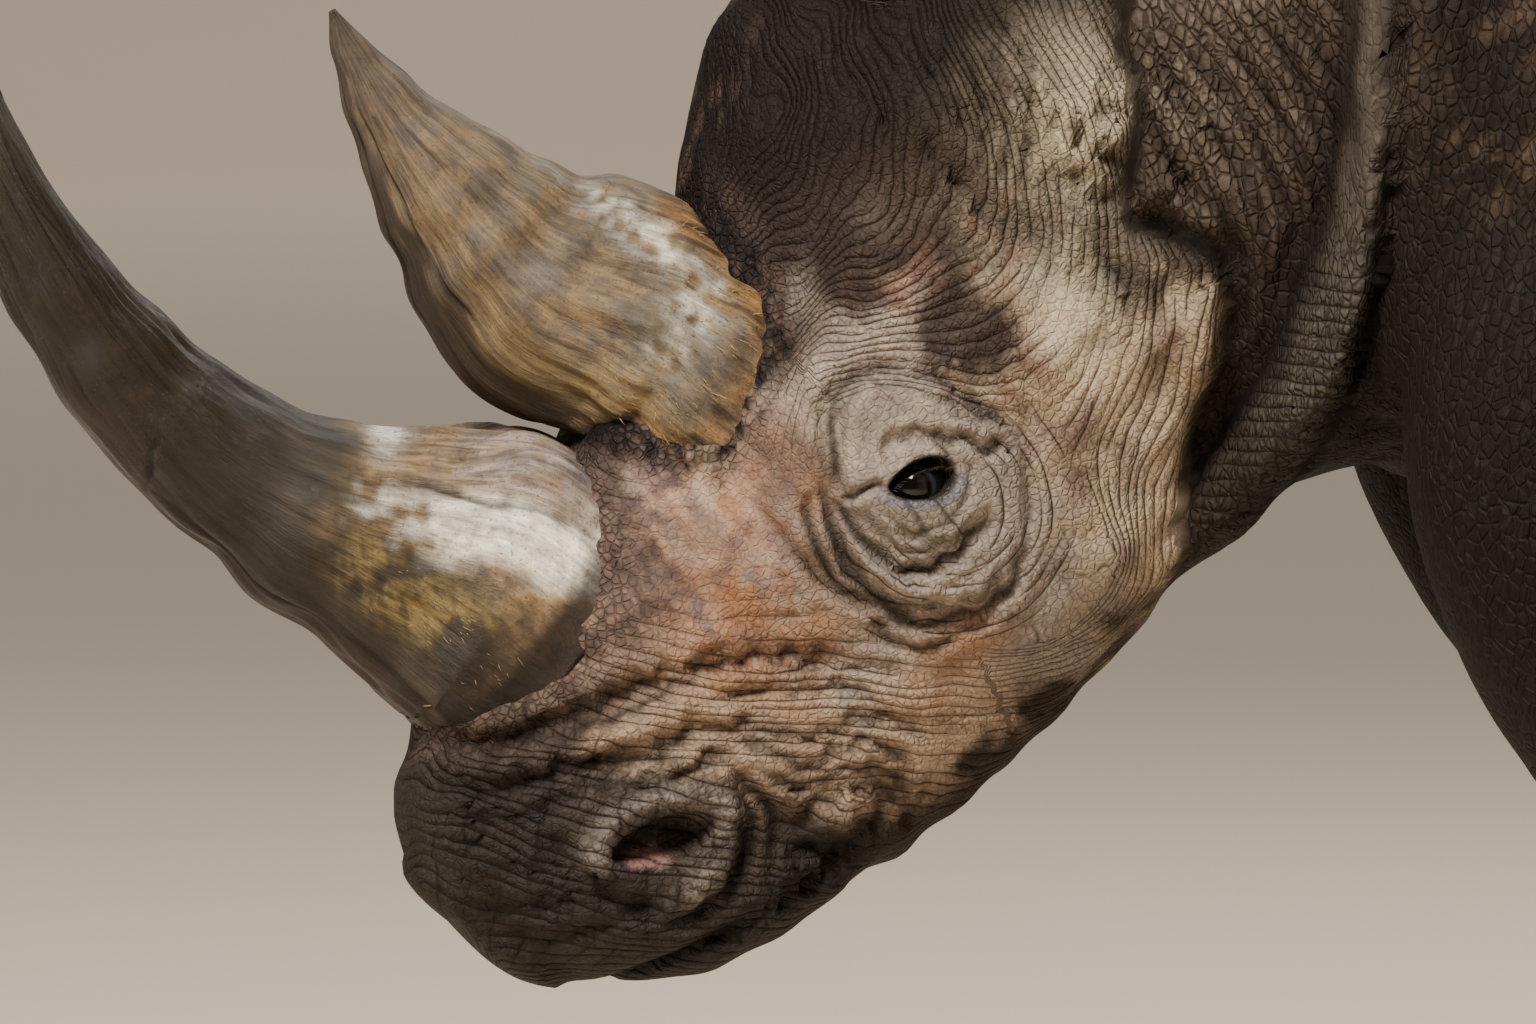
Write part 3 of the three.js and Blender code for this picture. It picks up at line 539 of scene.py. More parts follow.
# Creases of the face: half width, depth and a line of [along the head, up from it].
FACE_CREASES = tuple(
    Crease(*row)
    for row in (
        # over the eye
        (5, 5, ((29, 37), (21, 48), (7, 61), (-9, 72), (-24, 74), (-40, 64), (-50, 45), (-56, 22),
            (-57, -11), (-57, -29))),
        (3.5, 2.6, ((18, 44), (1, 60), (-15, 68), (-28, 65), (-37, 51), (-42, 30), (-48, 10),
            (-55, -15))),
        (4, 3, ((28, 50), (15, 64), (-1, 75), (-14, 79), (-27, 77))),
        (4, 4.5, ((-31, 19), (-30, 7), (-39, -9), (-45, -21), (-50, -33))),
        (3.2, 3, ((1, 30), (-8, 32), (-20, 26), (-26, 15), (-24, 1), (-15, -8), (-6, -11))),
        (3.2, 4.5, ((12, 19), (19, 26), (26, 31), (30, 36))),
        # under the eye
        (5, 6.5, ((31, 36), (37, 26), (43, 9), (45, -10), (42, -26), (31, -36), (18, -41), (0, -43),
            (-14, -47))),
        (3, 2.4, ((30, 24), (35, 3), (35, -16), (24, -29), (10, -34), (-6, -34))),
        (2.6, 1.8, ((24, 13), (26, -2), (22, -18), (8, -26), (-10, -24), (-23, -16))),
        (6, 8, ((28, 50), (41, 35), (53, 18), (62, -6), (65, -27), (64, -46), (56, -61), (43, -72),
            (29, -80), (10, -81), (-11, -72))),
        (3.5, 3.2, ((43, 27), (56, 7), (60, -16), (58, -37), (50, -55), (36, -68), (19, -73),
            (3, -69))),
        (4.5, 5.5, ((41, 52), (55, 38), (68, 16), (72, -1), (71, -18), (69, -36))),
        (4, 4, ((62, 71), (67, 53), (70, 38), (74, 23), (78, 4), (77, -13))),
        (4, 2.2, ((-56, -32), (-45, -46), (-29, -60), (-12, -73), (5, -84))),
        (5, 4.5, ((77, -30), (78, -48), (75, -62), (64, -73), (46, -82), (26, -89))),
        # down the side of the face
        (7, 9, ((289, 127), (286, 116), (275, 102), (261, 91), (240, 78), (218, 66), (201, 57),
            (187, 51), (169, 41))),
        (6, 7, ((305, 120), (302, 106), (296, 90), (281, 73), (267, 66), (249, 54), (237, 41),
            (225, 28), (212, 19), (193, 12), (177, -4))),
        (5, 5.5, ((257, 71), (234, 65), (217, 56), (200, 45), (183, 39), (168, 32), (154, 23),
            (136, 9), (116, -18), (97, -33))),
        (4, 3, ((200, 58), (185, 49), (168, 40), (150, 31), (133, 22))),
        (5, 4.5, ((288, 60), (280, 53), (269, 49), (256, 43), (246, 34), (232, 18), (216, 2),
            (204, -5), (195, -10), (184, -18))),
        (5, 4.5, ((189, 9), (178, -5), (168, -17), (160, -34), (157, -45), (145, -56), (124, -68),
            (113, -88), (109, -112))),
        (4, 3.4, ((169, 16), (156, -2), (141, -18), (124, -33), (115, -49), (109, -69))),
        (4, 3, ((138, -7), (122, -23), (106, -35), (95, -54), (88, -77))),
        (5, 4.5, ((188, -9), (175, -23), (171, -43), (170, -56), (163, -62), (142, -71), (130, -84),
            (128, -101), (131, -121))),
        (5, 4.5, ((186, -28), (183, -46), (181, -60), (171, -72), (153, -80), (143, -93),
            (140, -112), (145, -132))),
        # behind the nostril and at the corner of the mouth
        (5.5, 5.5, ((193, -17), (197, -37), (198, -54), (207, -69), (223, -76))),
        (5, 5, ((202, -30), (207, -45), (217, -58), (232, -63), (241, -66))),
        (7, 8.5, ((211, -79), (208, -90), (198, -104), (182, -112), (166, -115), (152, -119))),
        (5, 4.5, ((233, -78), (226, -97), (213, -112), (190, -124), (163, -131), (141, -131),
            (124, -127))),
        (5, 4, ((207, -77), (188, -78), (170, -83), (153, -93), (149, -111), (156, -125))),
        (6, 6.5, ((293, 40), (296, 28), (301, 10), (301, -9), (296, -27), (289, -39))),
        (6, 5.5, ((215, -42), (224, -60), (241, -66), (258, -65), (277, -58), (297, -49))),
        # across the muzzle and up it
        (4, 3.6, ((317, 99), (312, 86), (303, 69), (288, 55), (279, 49))),
        (4, 3.6, ((330, 88), (322, 71), (310, 56), (294, 40))),
        (4, 3.2, ((339, 76), (329, 58), (316, 46), (304, 29))),
        (4, 3.4, ((345, 65), (335, 50), (318, 36), (307, 21))),
        (4, 3.4, ((352, 56), (345, 36), (331, 18), (315, 5), (310, -6))),
        (4.5, 3.6, ((359, 44), (353, 23), (347, 7), (335, -6), (318, -18), (309, -28))),
        (3, 2.2, ((295, 87), (308, 75), (322, 64), (334, 50), (345, 35))),
        (3, 2.2, ((293, 66), (307, 53), (321, 42), (334, 30))),
        (3, 2, ((308, 91), (323, 79), (339, 63), (350, 48))),
        (3.4, 2.8, ((286, 50), (300, 37), (317, 23), (332, 9))),
        (3, 2, ((304, 17), (315, 6), (326, -6))),
        # behind the cheek and under the ear
        (9, 9, ((-198, 6), (-207, -16), (-211, -40), (-211, -57), (-200, -73), (-185, -88),
            (-166, -102), (-145, -112), (-120, -126), (-99, -140))),
        (6, 6, ((-230, 168), (-215, 148), (-203, 124), (-194, 96), (-193, 61), (-196, 34),
            (-197, 8))),
        (6, 6.5, ((-240, 156), (-225, 132), (-217, 109), (-214, 81), (-216, 53), (-217, 34),
            (-214, 18))),
        (6, 7, ((-249, 145), (-237, 123), (-231, 103), (-231, 81), (-235, 61), (-244, 38))),
        (5, 4, ((-242, 131), (-237, 113), (-240, 98), (-249, 83), (-256, 66), (-260, 52))),
        (5, 5, ((-219, 183), (-202, 158), (-186, 130), (-180, 107), (-178, 83), (-179, 60),
            (-181, 36))),
        (5, 4.5, ((-202, 190), (-188, 167), (-177, 143), (-160, 118), (-154, 96), (-149, 73),
            (-147, 54))),
        (4.5, 3.5, ((-175, 195), (-166, 171), (-156, 148), (-154, 121), (-150, 105))),
        (8, 8, ((-295, 84), (-282, 81), (-271, 69), (-263, 55), (-249, 40), (-232, 28), (-215, 17),
            (-199, 8))),
        (3.5, 2.4, ((-142, 30), (-151, 14), (-150, -5), (-143, -23), (-129, -37))),
        (3.5, 2.2, ((-106, 27), (-99, 9), (-85, -9), (-68, -25))),
        (4, 3, ((-175, 10), (-164, -20), (-147, -39), (-128, -51))),
    )
)
# Pleats of the neck and the edges of its roll: half width, depth and a line of [back, up].
NECK_CREASES = tuple(
    Crease(*row)
    for row in (
        (7, 6, ((160, 863), (168, 832), (179, 809), (195, 793), (210, 780), (218, 762), (224, 735),
            (222, 707), (215, 677))),
        (7, 6.5, ((152, 899), (170, 870), (187, 847), (205, 825), (219, 805), (230, 780),
            (235, 753), (236, 726), (230, 698), (219, 667), (208, 639))),
        (7, 6.5, ((169, 903), (192, 874), (209, 854), (225, 832), (236, 807), (246, 781),
            (250, 758), (247, 731), (241, 712), (235, 689), (227, 665), (213, 636))),
        (6.5, 6, ((196, 901), (218, 872), (235, 848), (249, 823), (257, 799), (259, 776),
            (255, 754))),
        (6.5, 6, ((222, 903), (239, 879), (254, 852), (263, 828), (266, 806), (263, 781))),
        (6, 5, ((245, 905), (258, 883), (267, 857), (270, 830), (269, 808))),
        (8, 6, ((277, 919), (277, 906), (276, 873), (274, 839), (271, 810), (266, 786), (259, 763),
            (253, 736), (247, 719), (239, 701), (229, 679), (215, 651), (198, 625))),
        (9, 6, ((298, 932), (301, 906), (302, 873), (301, 840), (300, 807), (298, 774), (294, 741),
            (289, 707), (283, 676), (272, 649), (261, 624))),
        (6, 4.5, ((310, 801), (308, 770), (304, 739), (299, 707), (299, 671), (291, 643))),
        (6, 4, ((323, 783), (321, 753), (317, 726), (311, 695), (313, 660))),
    )
)
# Where the neck begins behind the face: [up, along] in the head's frame.
HEAD_EDGE = Curve([(-260, 10), (-200, -30), (-170, -60), (-140, -99), (-126, -120), (-112, -145),
    (-102, -166), (-88, -185), (-73, -200), (-57, -211), (-40, -211), (-16, -207), (6, -200),
    (17, -215), (28, -232), (40, -249), (55, -263), (69, -271), (84, -297), (150, -320),
    (260, -350)])
# How far back the neck's folds lie at each height.
NECK_DRAPE = Curve([(560, 205), (620, 215), (662, 231), (685, 240), (726, 254), (753, 258),
    (804, 245), (852, 217), (903, 176), (1000, 90), (1200, -60)])
# The roll of skin on the neck: [up, middle, half width], seen from the side.
NECK_ROLL = Curve(
    [
        [500, 150, 33],
        [560, 200, 33],
        [624, 230, 31],
        [676, 256, 27],
        [740, 274, 21],
        [807, 286, 16],
        [873, 289, 14.5],
        [930, 290, 14.5],
        [1100, 280, 15],
        [1400, 250, 15],
    ]
)
# Feet of the horns: the middle along the head, half the length and half the breadth.
FRONT_FOOT = (189, 98, 74)
REAR_FOOT = (14, 78, 79)


def round_foot(s: Array, l: Array, foot: tuple[float, float, float]) -> Array:
    """Distance from the middle of a horn's foot, 1 on its rounded outline."""
    middle, length, breadth = foot
    return ((np.abs(s - middle) / length) ** 2.5 + (l / breadth) ** 2.5) ** 0.4


def face_creases(p: Array) -> tuple[Array, Array]:
    """How far in the face's creases press each place in the head's frame, and how much painted shade they
    give it.
    """
    return pressed(FACE_CREASES, p[:, ::2], 1.3 * wobble(p, 22, 12))


def neck_creases(points: Array) -> tuple[Array, Array]:
    """How far in the neck's creases press each point, and how much painted shade they give it."""
    return pressed(NECK_CREASES, points[:, ::2], 2.2 * wobble(points, 50, 38))


def neck_drape(points: Array) -> Array:
    """How far each point lies behind the arc that the neck's folds follow."""
    return points[:, 0] - NECK_DRAPE.at(points[:, 2])[0]


def across_roll(points: Array) -> Array:
    """Distance from the middle of the neck's roll, 1 at its edges."""
    middle, half = NECK_ROLL.at(points[:, 2])
    return (points[:, 0] - middle) / half


class Flesh:
    """The animal's flesh as one field: first the solids' form, then its folds and openings."""

    MOUTH = np.array(
        [(190, -113), (210, -111), (241, -101), (270, -85), (291, -74), (326, -58), (352, -52), (380, -49)]
    )

    def __init__(self) -> None:
        """Makes the legs' tubes."""
        self.legs = [leg.tube() for leg in LEGS.values()]

    def form(self, points: Array) -> Array:
        """The form that the solids have."""
        d = join(TORSO(points), NECK_FORM(points), 150)
        d = join(d, lump(TRUNK, points, (590, 255, 900), (190, 88, 330)), 90)
        d = join(d, lump(TRUNK, points, (2010, 215, 930), (230, 150, 300)), 110)
        place, breadth, height = ROLL.at(points[:, 2])
        d = d - height * np.exp(-(((points[:, 0] - place) / breadth) ** 2))
        head = HEAD_FORM(points)
        near = head < FAR
        p = HEAD.local(points[near])
        p[:, 1] = np.abs(p[:, 1])
        relief = sum(height * swell(p, centre, radii) for height, centre, radii in HEAD_RELIEF)
        head[near] -= relief
        root = lump(HEAD, points, (-222, 92, 96), (66, 46, 60))
        d = join(d, join(head, root, 50), 70)
        for leg in self.legs:
            d = join(d, leg(points), 70)
        return d

    def __call__(self, points: Array, folded: bool = True) -> Array:
        """The finished flesh, or the flesh with its openings but without its folds."""
        d = self.form(points)
        p = HEAD.local(points)
        on_head = (np.abs(d) < 90) & (p[:, 0] > -340) & (np.abs(p[:, 1]) < 230) & (p[:, 2] < 330)
        on_head &= p[:, 2] > -260
        if folded:
            body = np.abs(d) < 60
            d[body] -= self._pleats(points[body])
            d[on_head] += self._folds(p[on_head])
        d[on_head] = self._openings(p[on_head], d[on_head])
        return np.maximum(d, -points[:, 2])

    def _folds(self, p: Array) -> Array:
        """How far the head's skin is pressed in by its folds, less where they stand out."""
        s, l, v = folded(p)
        q = np.stack([s, l, v], axis=1)
        flank = step_up(l, 22, 48)
        rough = wobble(p, 34, 11)
        ring, turn = eye_ring(s, v)
        ring = ring + 3.0 * rough
        inward, _ = face_creases(p)
        d = 12 * np.tanh(1.15 * inward / 12) * flank * (0.5 + 0.5 * step_up(s, -300, -200))
        ringed = step_up(ring, 38, 52) * (1 - step_up(ring, 82, 108)) * flank
        ringed = ringed * (0.35 + 0.65 * step_up(-v, -10, 30))
        wave = np.abs(np.sin(math.pi * ring / 10.5 + 0.7 * np.sin(2 * turn + 1) + 0.6 * rough))
        d = d + 0.9 * ringed * (1 - wave**0.6)
        across, along = flow_past_eye(s, side_height(l, v))
        waver = np.stack([along / 3.2, across], axis=1)
        lines = across / 13 + 0.42 * wobble(waver, 40, 5)
        face = step_up(ring, 88, 112) * step_up(s - 0.5 * v, 10, 90)
        face = face * (1 - step_up(s, 225, 290)) * step_up(l, 25, 55)
        face = face * (0.15 + 0.85 * step_up(across, -10, 45))
        strong = 0.5 + 0.5 * np.clip(wobble(waver, 60, 6), -1, 1)
        d = d + 3.4 * face * strong * (1 - np.abs(np.sin(math.pi * lines)) ** 0.55)
        nose = np.hypot((s - 252) / 1.25, (v + 20) / 0.95)
        d = d - 4.0 * np.exp(-(((nose - 40) / 10) ** 2)) * flank * step_up(v - 0.6 * (s - 250), -60, 20)
        # the knob of the crown, a scab beside the horns and the crust round their feet
        knob = 12 * swell(p, (-158, 0, 222), (24, 26, 30))
        knob = knob + 4 * swell(p, (48, 62, 120), (9, 9, 12)) * (p[:, 1] > 0)
        uneven = 0.7 * wobble(p, 11, 23) * (1 - 0.75 * step_up(s, 84, 104))
        crust = self.crust(p) * (0.4 + uneven)
        # the cheek before the crease behind it, and the lobe of the ear's root over the neck
        cheek = 7 * swell(q, (-165, 150, -60), (42, 60, 62))
        cheek = cheek + 9 * swell(q, (-232, 150, 75), (34, 60, 62))
        loose = 1.2 * wobble(p, 60, 3) * step_up(-s, -360, -300)
        return d - knob - crust - cheek - loose

    def _openings(self, p: Array, d: Array) -> Array:
        """The head's field with its lids, nostrils and mouth."""
        s, l, v = folded(p)
        u, t, w = self.lid_place(s, l, v)
        d = join(d, np.sqrt(u * u + t * t + w * w) - 25.5, 16)
        d = np.where(l > 90, carve(d, self.lid_slit(s, l, v), 2.5), d)
        # the nostril's hood, the wet lobe under it and the opening between them
        lobe = 7 * swell(np.stack([s, l, v], axis=1), (268, 80, -50), (26, 60, 14)) + 6 * self.hood(s, v)
        d = d - lobe * step_up(l, 30, 60)
        d = carve(d, self.nostril(s, l, v), 3)
        mouthed = (s > 150) & (l < 130)
        gap = self.from_mouth(np.stack([s[mouthed], v[mouthed]], axis=1))
        lip = 3.2 * np.exp(-(((np.abs(gap) - 11) / 8) ** 2))
        d[mouthed] += 9 * np.exp(-((gap / 3.4) ** 2)) - lip
        return d

    @staticmethod
    def lid_place(s: Array, l: Array, v: Array) -> tuple[Array, Array, Array]:
        """Places along the lids' slant, outwards, and up across it, from an eyeball's centre."""
        c, k = math.cos(LID_SLANT), math.sin(LID_SLANT)
        return s * c + v * k, l - EYE_SEAT, v * c - s * k

    @classmethod
    def lid_slit(cls, s: Array, l: Array, v: Array) -> Array:
        """The field of the opening between the lids: an almond, fuller behind its middle."""
        u, t, w = cls.lid_place(s, l, v)
        u, w = u - 0.5, w - 5.0
        return (np.sqrt((u / 19.5) ** 2 + (w / (11.8 - 0.14 * u)) ** 2 + ((t - 28) / 40) ** 2) - 1) * 9

    @staticmethod
    def along_nostril(s: Array, v: Array) -> tuple[Array, Array]:
        """Places along and across a nostril, from its middle; across is up and back."""
        run, rise, c, k = s - 254, v + 14, 0.815, 0.58
        return run * c + rise * k, rise * c - run * k

    @classmethod
    def nostril(cls, s: Array, l: Array, v: Array) -> Array:
        """The field of the nostril's opening: a slanted slit under its hood, deeper behind."""
        a, b = cls.along_nostril(s, v)
        slit = np.sqrt((a / 33) ** 2 + (b / (13.5 - 0.06 * a)) ** 2 + ((l - 86) / 29) ** 2)
        return (slit - 1) * 8

    @classmethod
    def hood(cls, s: Array, v: Array) -> Array:
        """The thick rim that arches over the nostril, 0 to 1."""
        a, b = cls.along_nostril(s, v)
        ring = np.hypot(a / 42, b / 25)
        return np.exp(-(((ring - 1) / 0.27) ** 2)) * step_up(b, -14, 4)

    def from_mouth(self, q: Array) -> Array:
        """Distance from the line of the mouth, seen from the side."""
        best = np.full(len(q), FAR)
        for a, b in zip(self.MOUTH[:-1], self.MOUTH[1:]):
            run = (b - a).astype(float)
            t = np.clip(((q - a) @ run) / (run @ run), 0, 1)
            best = np.minimum(best, np.linalg.norm(q - a - t[:, None] * run, axis=1))
        return best

    @staticmethod
    def crust(p: Array) -> Array:
        """How far the rough black crust round the horns covers a place on the head, 0 to 1."""
        s, l, v = folded(p)
        front = round_foot(s, l, FRONT_FOOT)
        rear = round_foot(s, l, REAR_FOOT) + 0.04 * wobble(p, 30, 24)
        top = step_up(v, 60, 100)
        band = np.maximum(0.75 * (1 - step_up(front, 1.02, 1.10)), 1 - step_up(rear, 1.05, 1.26)) * top
        crown = np.exp(-((l / 42) ** 2)) * step_up(-s, 40, 70) * (1 - step_up(-s, 165, 215)) * top
        return np.clip(np.maximum(band, 0.8 * crown), 0, 1)

    @staticmethod
    def _pleats(p: Array) -> Array:
        """Folds of the neck and creases at the tops of the legs: how far the skin stands out."""
        x, y, z = p.T
        off = wobble(p, 150, 31)
        inward, _ = neck_creases(p)
        aside = step_up(np.abs(y), 40, 90)
        neck = step_up(x, 120, 190) * (1 - step_up(x, 330, 460))
        neck = neck * step_up(z, 560, 640) * (1 - step_up(z, 1150, 1350))
        drape = neck_drape(p)
        fade = 1 - step_up(drape, 30, 60) * (1 - step_up(z, 900, 960))
        fine = np.abs(np.sin(math.pi * (drape + 5 * wobble(p, 70, 36)) / 21)) ** 0.5
        out = -3.0 * neck * fade * (1 - fine)
        out = out - 7 * np.tanh(inward / 9) * aside * step_up(x, 120, 170)
        _, half = NECK_ROLL.at(z)
        across = across_roll(p)
        tall = step_up(z, 540, 600) * (1 - step_up(z, 1050, 1300))
        round_roll = np.clip(1 - across**2, 0, 1) ** 1.3
        out = out * (1 - 0.7 * round_roll * tall) + (9 + 0.42 * half) * tall * round_roll
        cross = (z + 7 * across**2 + 12 * wobble(p, 90, 37) + 3 * wobble(p, 26, 39)) / 13
        on_roll = round_roll * step_up(z, 560, 600) * (1 - step_up(z, 690, 770))
        out -= 1.7 * on_roll * (1 - np.abs(np.sin(math.pi * cross)) ** 0.5)
        low = 1 - step_up(z, 330, 560)
        out -= 2.6 * low * step_up(z, 70, 120) * (1 - np.abs(np.sin(math.pi * (z + 8 * off) / 52)) ** 0.6)
        for rear, lean in ((720, 0.25), (1790, -0.45)):
            crease = x - rear - lean * (z - 760) + 16 * off
            fade = step_up(z, 520, 640) * (1 - step_up(z, 900, 1120)) * step_up(np.abs(y), 120, 200)
            out -= 7 * fade * np.exp(-((crease / 15) ** 2)) - 4 * fade * np.exp(-(((crease - 34) / 22) ** 2))
        return out + 1.6 * (wobble(p, 210, 41) - 1.9) * step_up(x, 330, 600)


# ------------------------------------------------------------------ nets over a field

CORNERS = np.array([[x, y, z] for x in (0, 1) for y in (0, 1) for z in (0, 1)])
EDGES = [(a, b) for a in range(8) for b in range(a, 8) if np.abs(CORNERS[a] - CORNERS[b]).sum() == 1]
KEY_BITS = 10  # how much of a grid place's key each direction has
KEY = np.array([1 << 2 * KEY_BITS, 1 << KEY_BITS, 1])


def cube(values: Array) -> Array:
    """Every triple of the values, the last one changing fastest."""
    return np.stack(np.meshgrid(*[values] * 3, indexing="ij"), -1).reshape(-1, 3)


@dataclass
class WarpedNet:
    """A net over a field, on a grid that is fine about one place and coarser further out.

    A grid place q goes to centre + direction * radius(|q|), where the radius is cell * |q| up
    to the fine radius and then grows with a power of |q|.
    """

    field: Field
    centre: Array
    cell: float
    fine: float
    growth: float
    low: Array
    high: Array
    step: int = 4  # cells along the side of a block, the unit in which the surface is sought
    margin: float = 200.0  # how far outside its box the field is still read
    reach: float = 0.62  # share of a block's diagonal within which its surface may lie

    def place(self, q: Array) -> Array:
        """Points in space for places on the grid."""
        far = np.linalg.norm(q, axis=-1, keepdims=True) + 1e-9
        edge = self.fine / self.cell
        radius = np.where(far < edge, self.cell * far, self.fine * (far / edge) ** self.growth)
        return self.centre + q / far * radius

    def _grid_of(self, points: Array) -> Array:
        """Places on the grid for points in space."""
        away = points - self.centre
        radius = np.linalg.norm(away, axis=-1, keepdims=True) + 1e-9
        edge = self.fine / self.cell
        warped = edge * (radius / self.fine) ** (1 / self.growth)
        far = np.where(radius < self.fine, radius / self.cell, warped)
        return away / radius * far

    def _blocks(self) -> tuple[Array, Array]:
        """Finds the blocks of cells that the surface may cross.

        Returns:
            The blocks' low corners on the grid, and the low corner of the whole grid.
        """
        bound = self._grid_of(self.low + (self.high - self.low) * cube(np.linspace(0, 1, 24)))
        n = self.step
        first = (np.floor(bound.min(axis=0) / n) - 1).astype(int)
        count = (np.ceil(bound.max(axis=0) / n) + 1).astype(int) - first
        coarse = np.stack(np.meshgrid(*[np.arange(c + 1) for c in count], indexing="ij"), -1)
        at = self.place(((coarse + first) * n).reshape(-1, 3).astype(float))
        inside = ((at > self.low - self.margin) & (at < self.high + self.margin)).all(axis=1)
        value = np.full(len(at), FAR)
        value[inside] = self.field(at[inside])
        at, value = at.reshape(*coarse.shape), value.reshape(coarse.shape[:3])
        stack = np.stack([value[tuple(slice(c, c - 1 or None) for c in k)] for k in CORNERS], -1)
        size = np.linalg.norm(at[1:, 1:, 1:] - at[:-1, :-1, :-1], axis=-1)
        mixed = (stack < 0).any(-1) & (stack > 0).any(-1)
        near = np.abs(stack).min(-1) < self.reach * size
        return (np.argwhere(mixed | near) + first) * n, first * n

    def _cells(self, base: Array, shift: Array) -> tuple[Array, Array]:
        """Finds the cells that the surface crosses, in the order of their keys.

        Args:
            base: The blocks' low corners.
            shift: The grid's low corner.

        Returns:
            The field at the eight corners of each cell, and its low corner on the grid.
        """
        n, mask = self.step, (1 << KEY_BITS) - 1
        nodes = (base[:, None] + cube(np.arange(n + 1))).reshape(-1, 3)
        keys, back = np.unique((nodes - shift) @ KEY, return_inverse=True)
        high, middle = keys >> 2 * KEY_BITS, (keys >> KEY_BITS) & mask
        unique = np.stack([high, middle, keys & mask], 1) + shift
        parts = [self.field(self.place(part.astype(float))) for part in np.array_split(unique, 8)]
        block = np.concatenate(parts)[back].reshape(-1, n + 1, n + 1, n + 1)
        sides = [slice(0, n), slice(1, n + 1)]
        cell = np.stack([block[:, sides[a], sides[b], sides[c]] for a, b, c in CORNERS], -1)
        cell = cell.reshape(-1, 8)
        origin = (base[:, None] + cube(np.arange(n))).reshape(-1, 3)
        crossed = (cell < 0).any(1) & (cell >= 0).any(1)
        cell, origin = cell[crossed], origin[crossed]
        order = np.argsort((origin - shift) @ KEY)
        return cell[order], origin[order]

    def build(self) -> tuple[Array, Array]:
        """One point in each cell that the surface crosses, and four-sided faces between them.

        A point is the mean of the places where the surface cuts the edges of its cell.

        Returns:
            The points, set on the surface, and the faces, turned outwards.
        """
        base, shift = self._blocks()
        cell, origin = self._cells(base, shift)
        cell_keys = (origin - shift) @ KEY
        total, hits = np.zeros((len(cell), 3)), np.zeros(len(cell))
        for a, b in EDGES:
            cut = (cell[:, a] < 0) != (cell[:, b] < 0)
            t = np.where(cut, cell[:, a] / np.where(cut, cell[:, a] - cell[:, b], 1), 0)[:, None]
            total += np.where(cut[:, None], CORNERS[a] + t * (CORNERS[b] - CORNERS[a]), 0)
            hits += cut
        points = self.place(origin + total / hits[:, None])
        faces = []
        for axis in range(3):
            far_corner = 1 << (2 - axis)
            cut = (cell[:, 0] < 0) != (cell[:, far_corner] < 0)
            one, two = [KEY[(axis + k) % 3] for k in (1, 2)]
            key = cell_keys[cut]
            ring = np.stack([key, key - one, key - one - two, key - two], 1)
            spot = np.minimum(np.searchsorted(cell_keys, ring), len(cell_keys) - 1)
            whole = (cell_keys[spot] == ring).all(axis=1)
            faces.append(np.where((cell[cut, 0] < 0)[:, None], spot, spot[:, ::-1])[whole])
            if not whole.all():
                LOG.warning("net: %d faces are missing along axis %d", (~whole).sum(), axis)
        return points, np.concatenate(faces)


def slope_of(surface: Field, points: Array, step: float = 0.7) -> Array:
    """The field's slope at each point, by central differences."""
    parts = []
    for axis in range(3):
        move = np.zeros(3)
        move[axis] = step
        parts.append((surface(points + move) - surface(points - move)) / (2 * step))
    return np.stack(parts, axis=1)


def settle(surface: Field, points: Array, reach: float = 4.0, rounds: int = 3) -> Array:
    """Moves points on to the field's surface by short steps down its slope."""
    for _ in range(rounds):
        slope = slope_of(surface, points)
        steep = (slope**2).sum(axis=1) + 1e-4
        move = np.clip(surface(points) / np.sqrt(steep), -reach, reach) / np.sqrt(steep)
        points = points - slope * move[:, None]
    return points


# ------------------------------------------------------------------ meshes and shader nodes


def grid_faces(rows: int, columns: int, closed: bool = True) -> Array:
    """Four-sided faces of a grid of points whose columns run round a body.

    Args:
        rows: Rows of points.
        columns: Points in a row.
        closed: Whether the last column joins the first.

    Returns:
        The faces, one row each.
    """
    row, column = lattice(np.arange(rows - 1), np.arange(columns if closed else columns - 1))
    after = (column + 1) % columns
    low, high = row * columns, (row + 1) * columns
    return np.stack([low + column, low + after, high + after, high + column], 1)


def outward(points: Array, faces: Sequence[Sequence[int]]) -> list[list[int]]:
    """A closed body's faces, turned over where its signed volume says that they point inwards."""
    faces = [list(face) for face in faces]
    corner = np.array([face[:3] for face in faces])
    a, b, c = points[corner[:, 0]], points[corner[:, 1]], points[corner[:, 2]]
    middle = points.mean(axis=0)
    volume = (np.cross(a - middle, b - middle) * (c - middle)).sum()
    return faces if volume > 0 else [face[::-1] for face in faces]


@dataclass
class Body:
    """Points in millimetres, their faces and what each point carries."""

    points: Array
    faces: list[list[int]]
    colours: dict[str, Array] = field(default_factory=dict)
    uv: Array | None = None  # for each corner of each face

    @staticmethod
    def joined(bodies: Sequence["Body"]) -> "Body":
        """Several bodies as one."""
        faces, first = [], 0
        for body in bodies:
            faces += [[n + first for n in face] for face in body.faces]
            first += len(body.points)
        names = bodies[0].colours
        colours = {name: np.concatenate([body.colours[name] for body in bodies]) for name in names}
        uv = None if bodies[0].uv is None else np.concatenate([body.uv for body in bodies])
        return Body(np.concatenate([body.points for body in bodies]), faces, colours, uv)


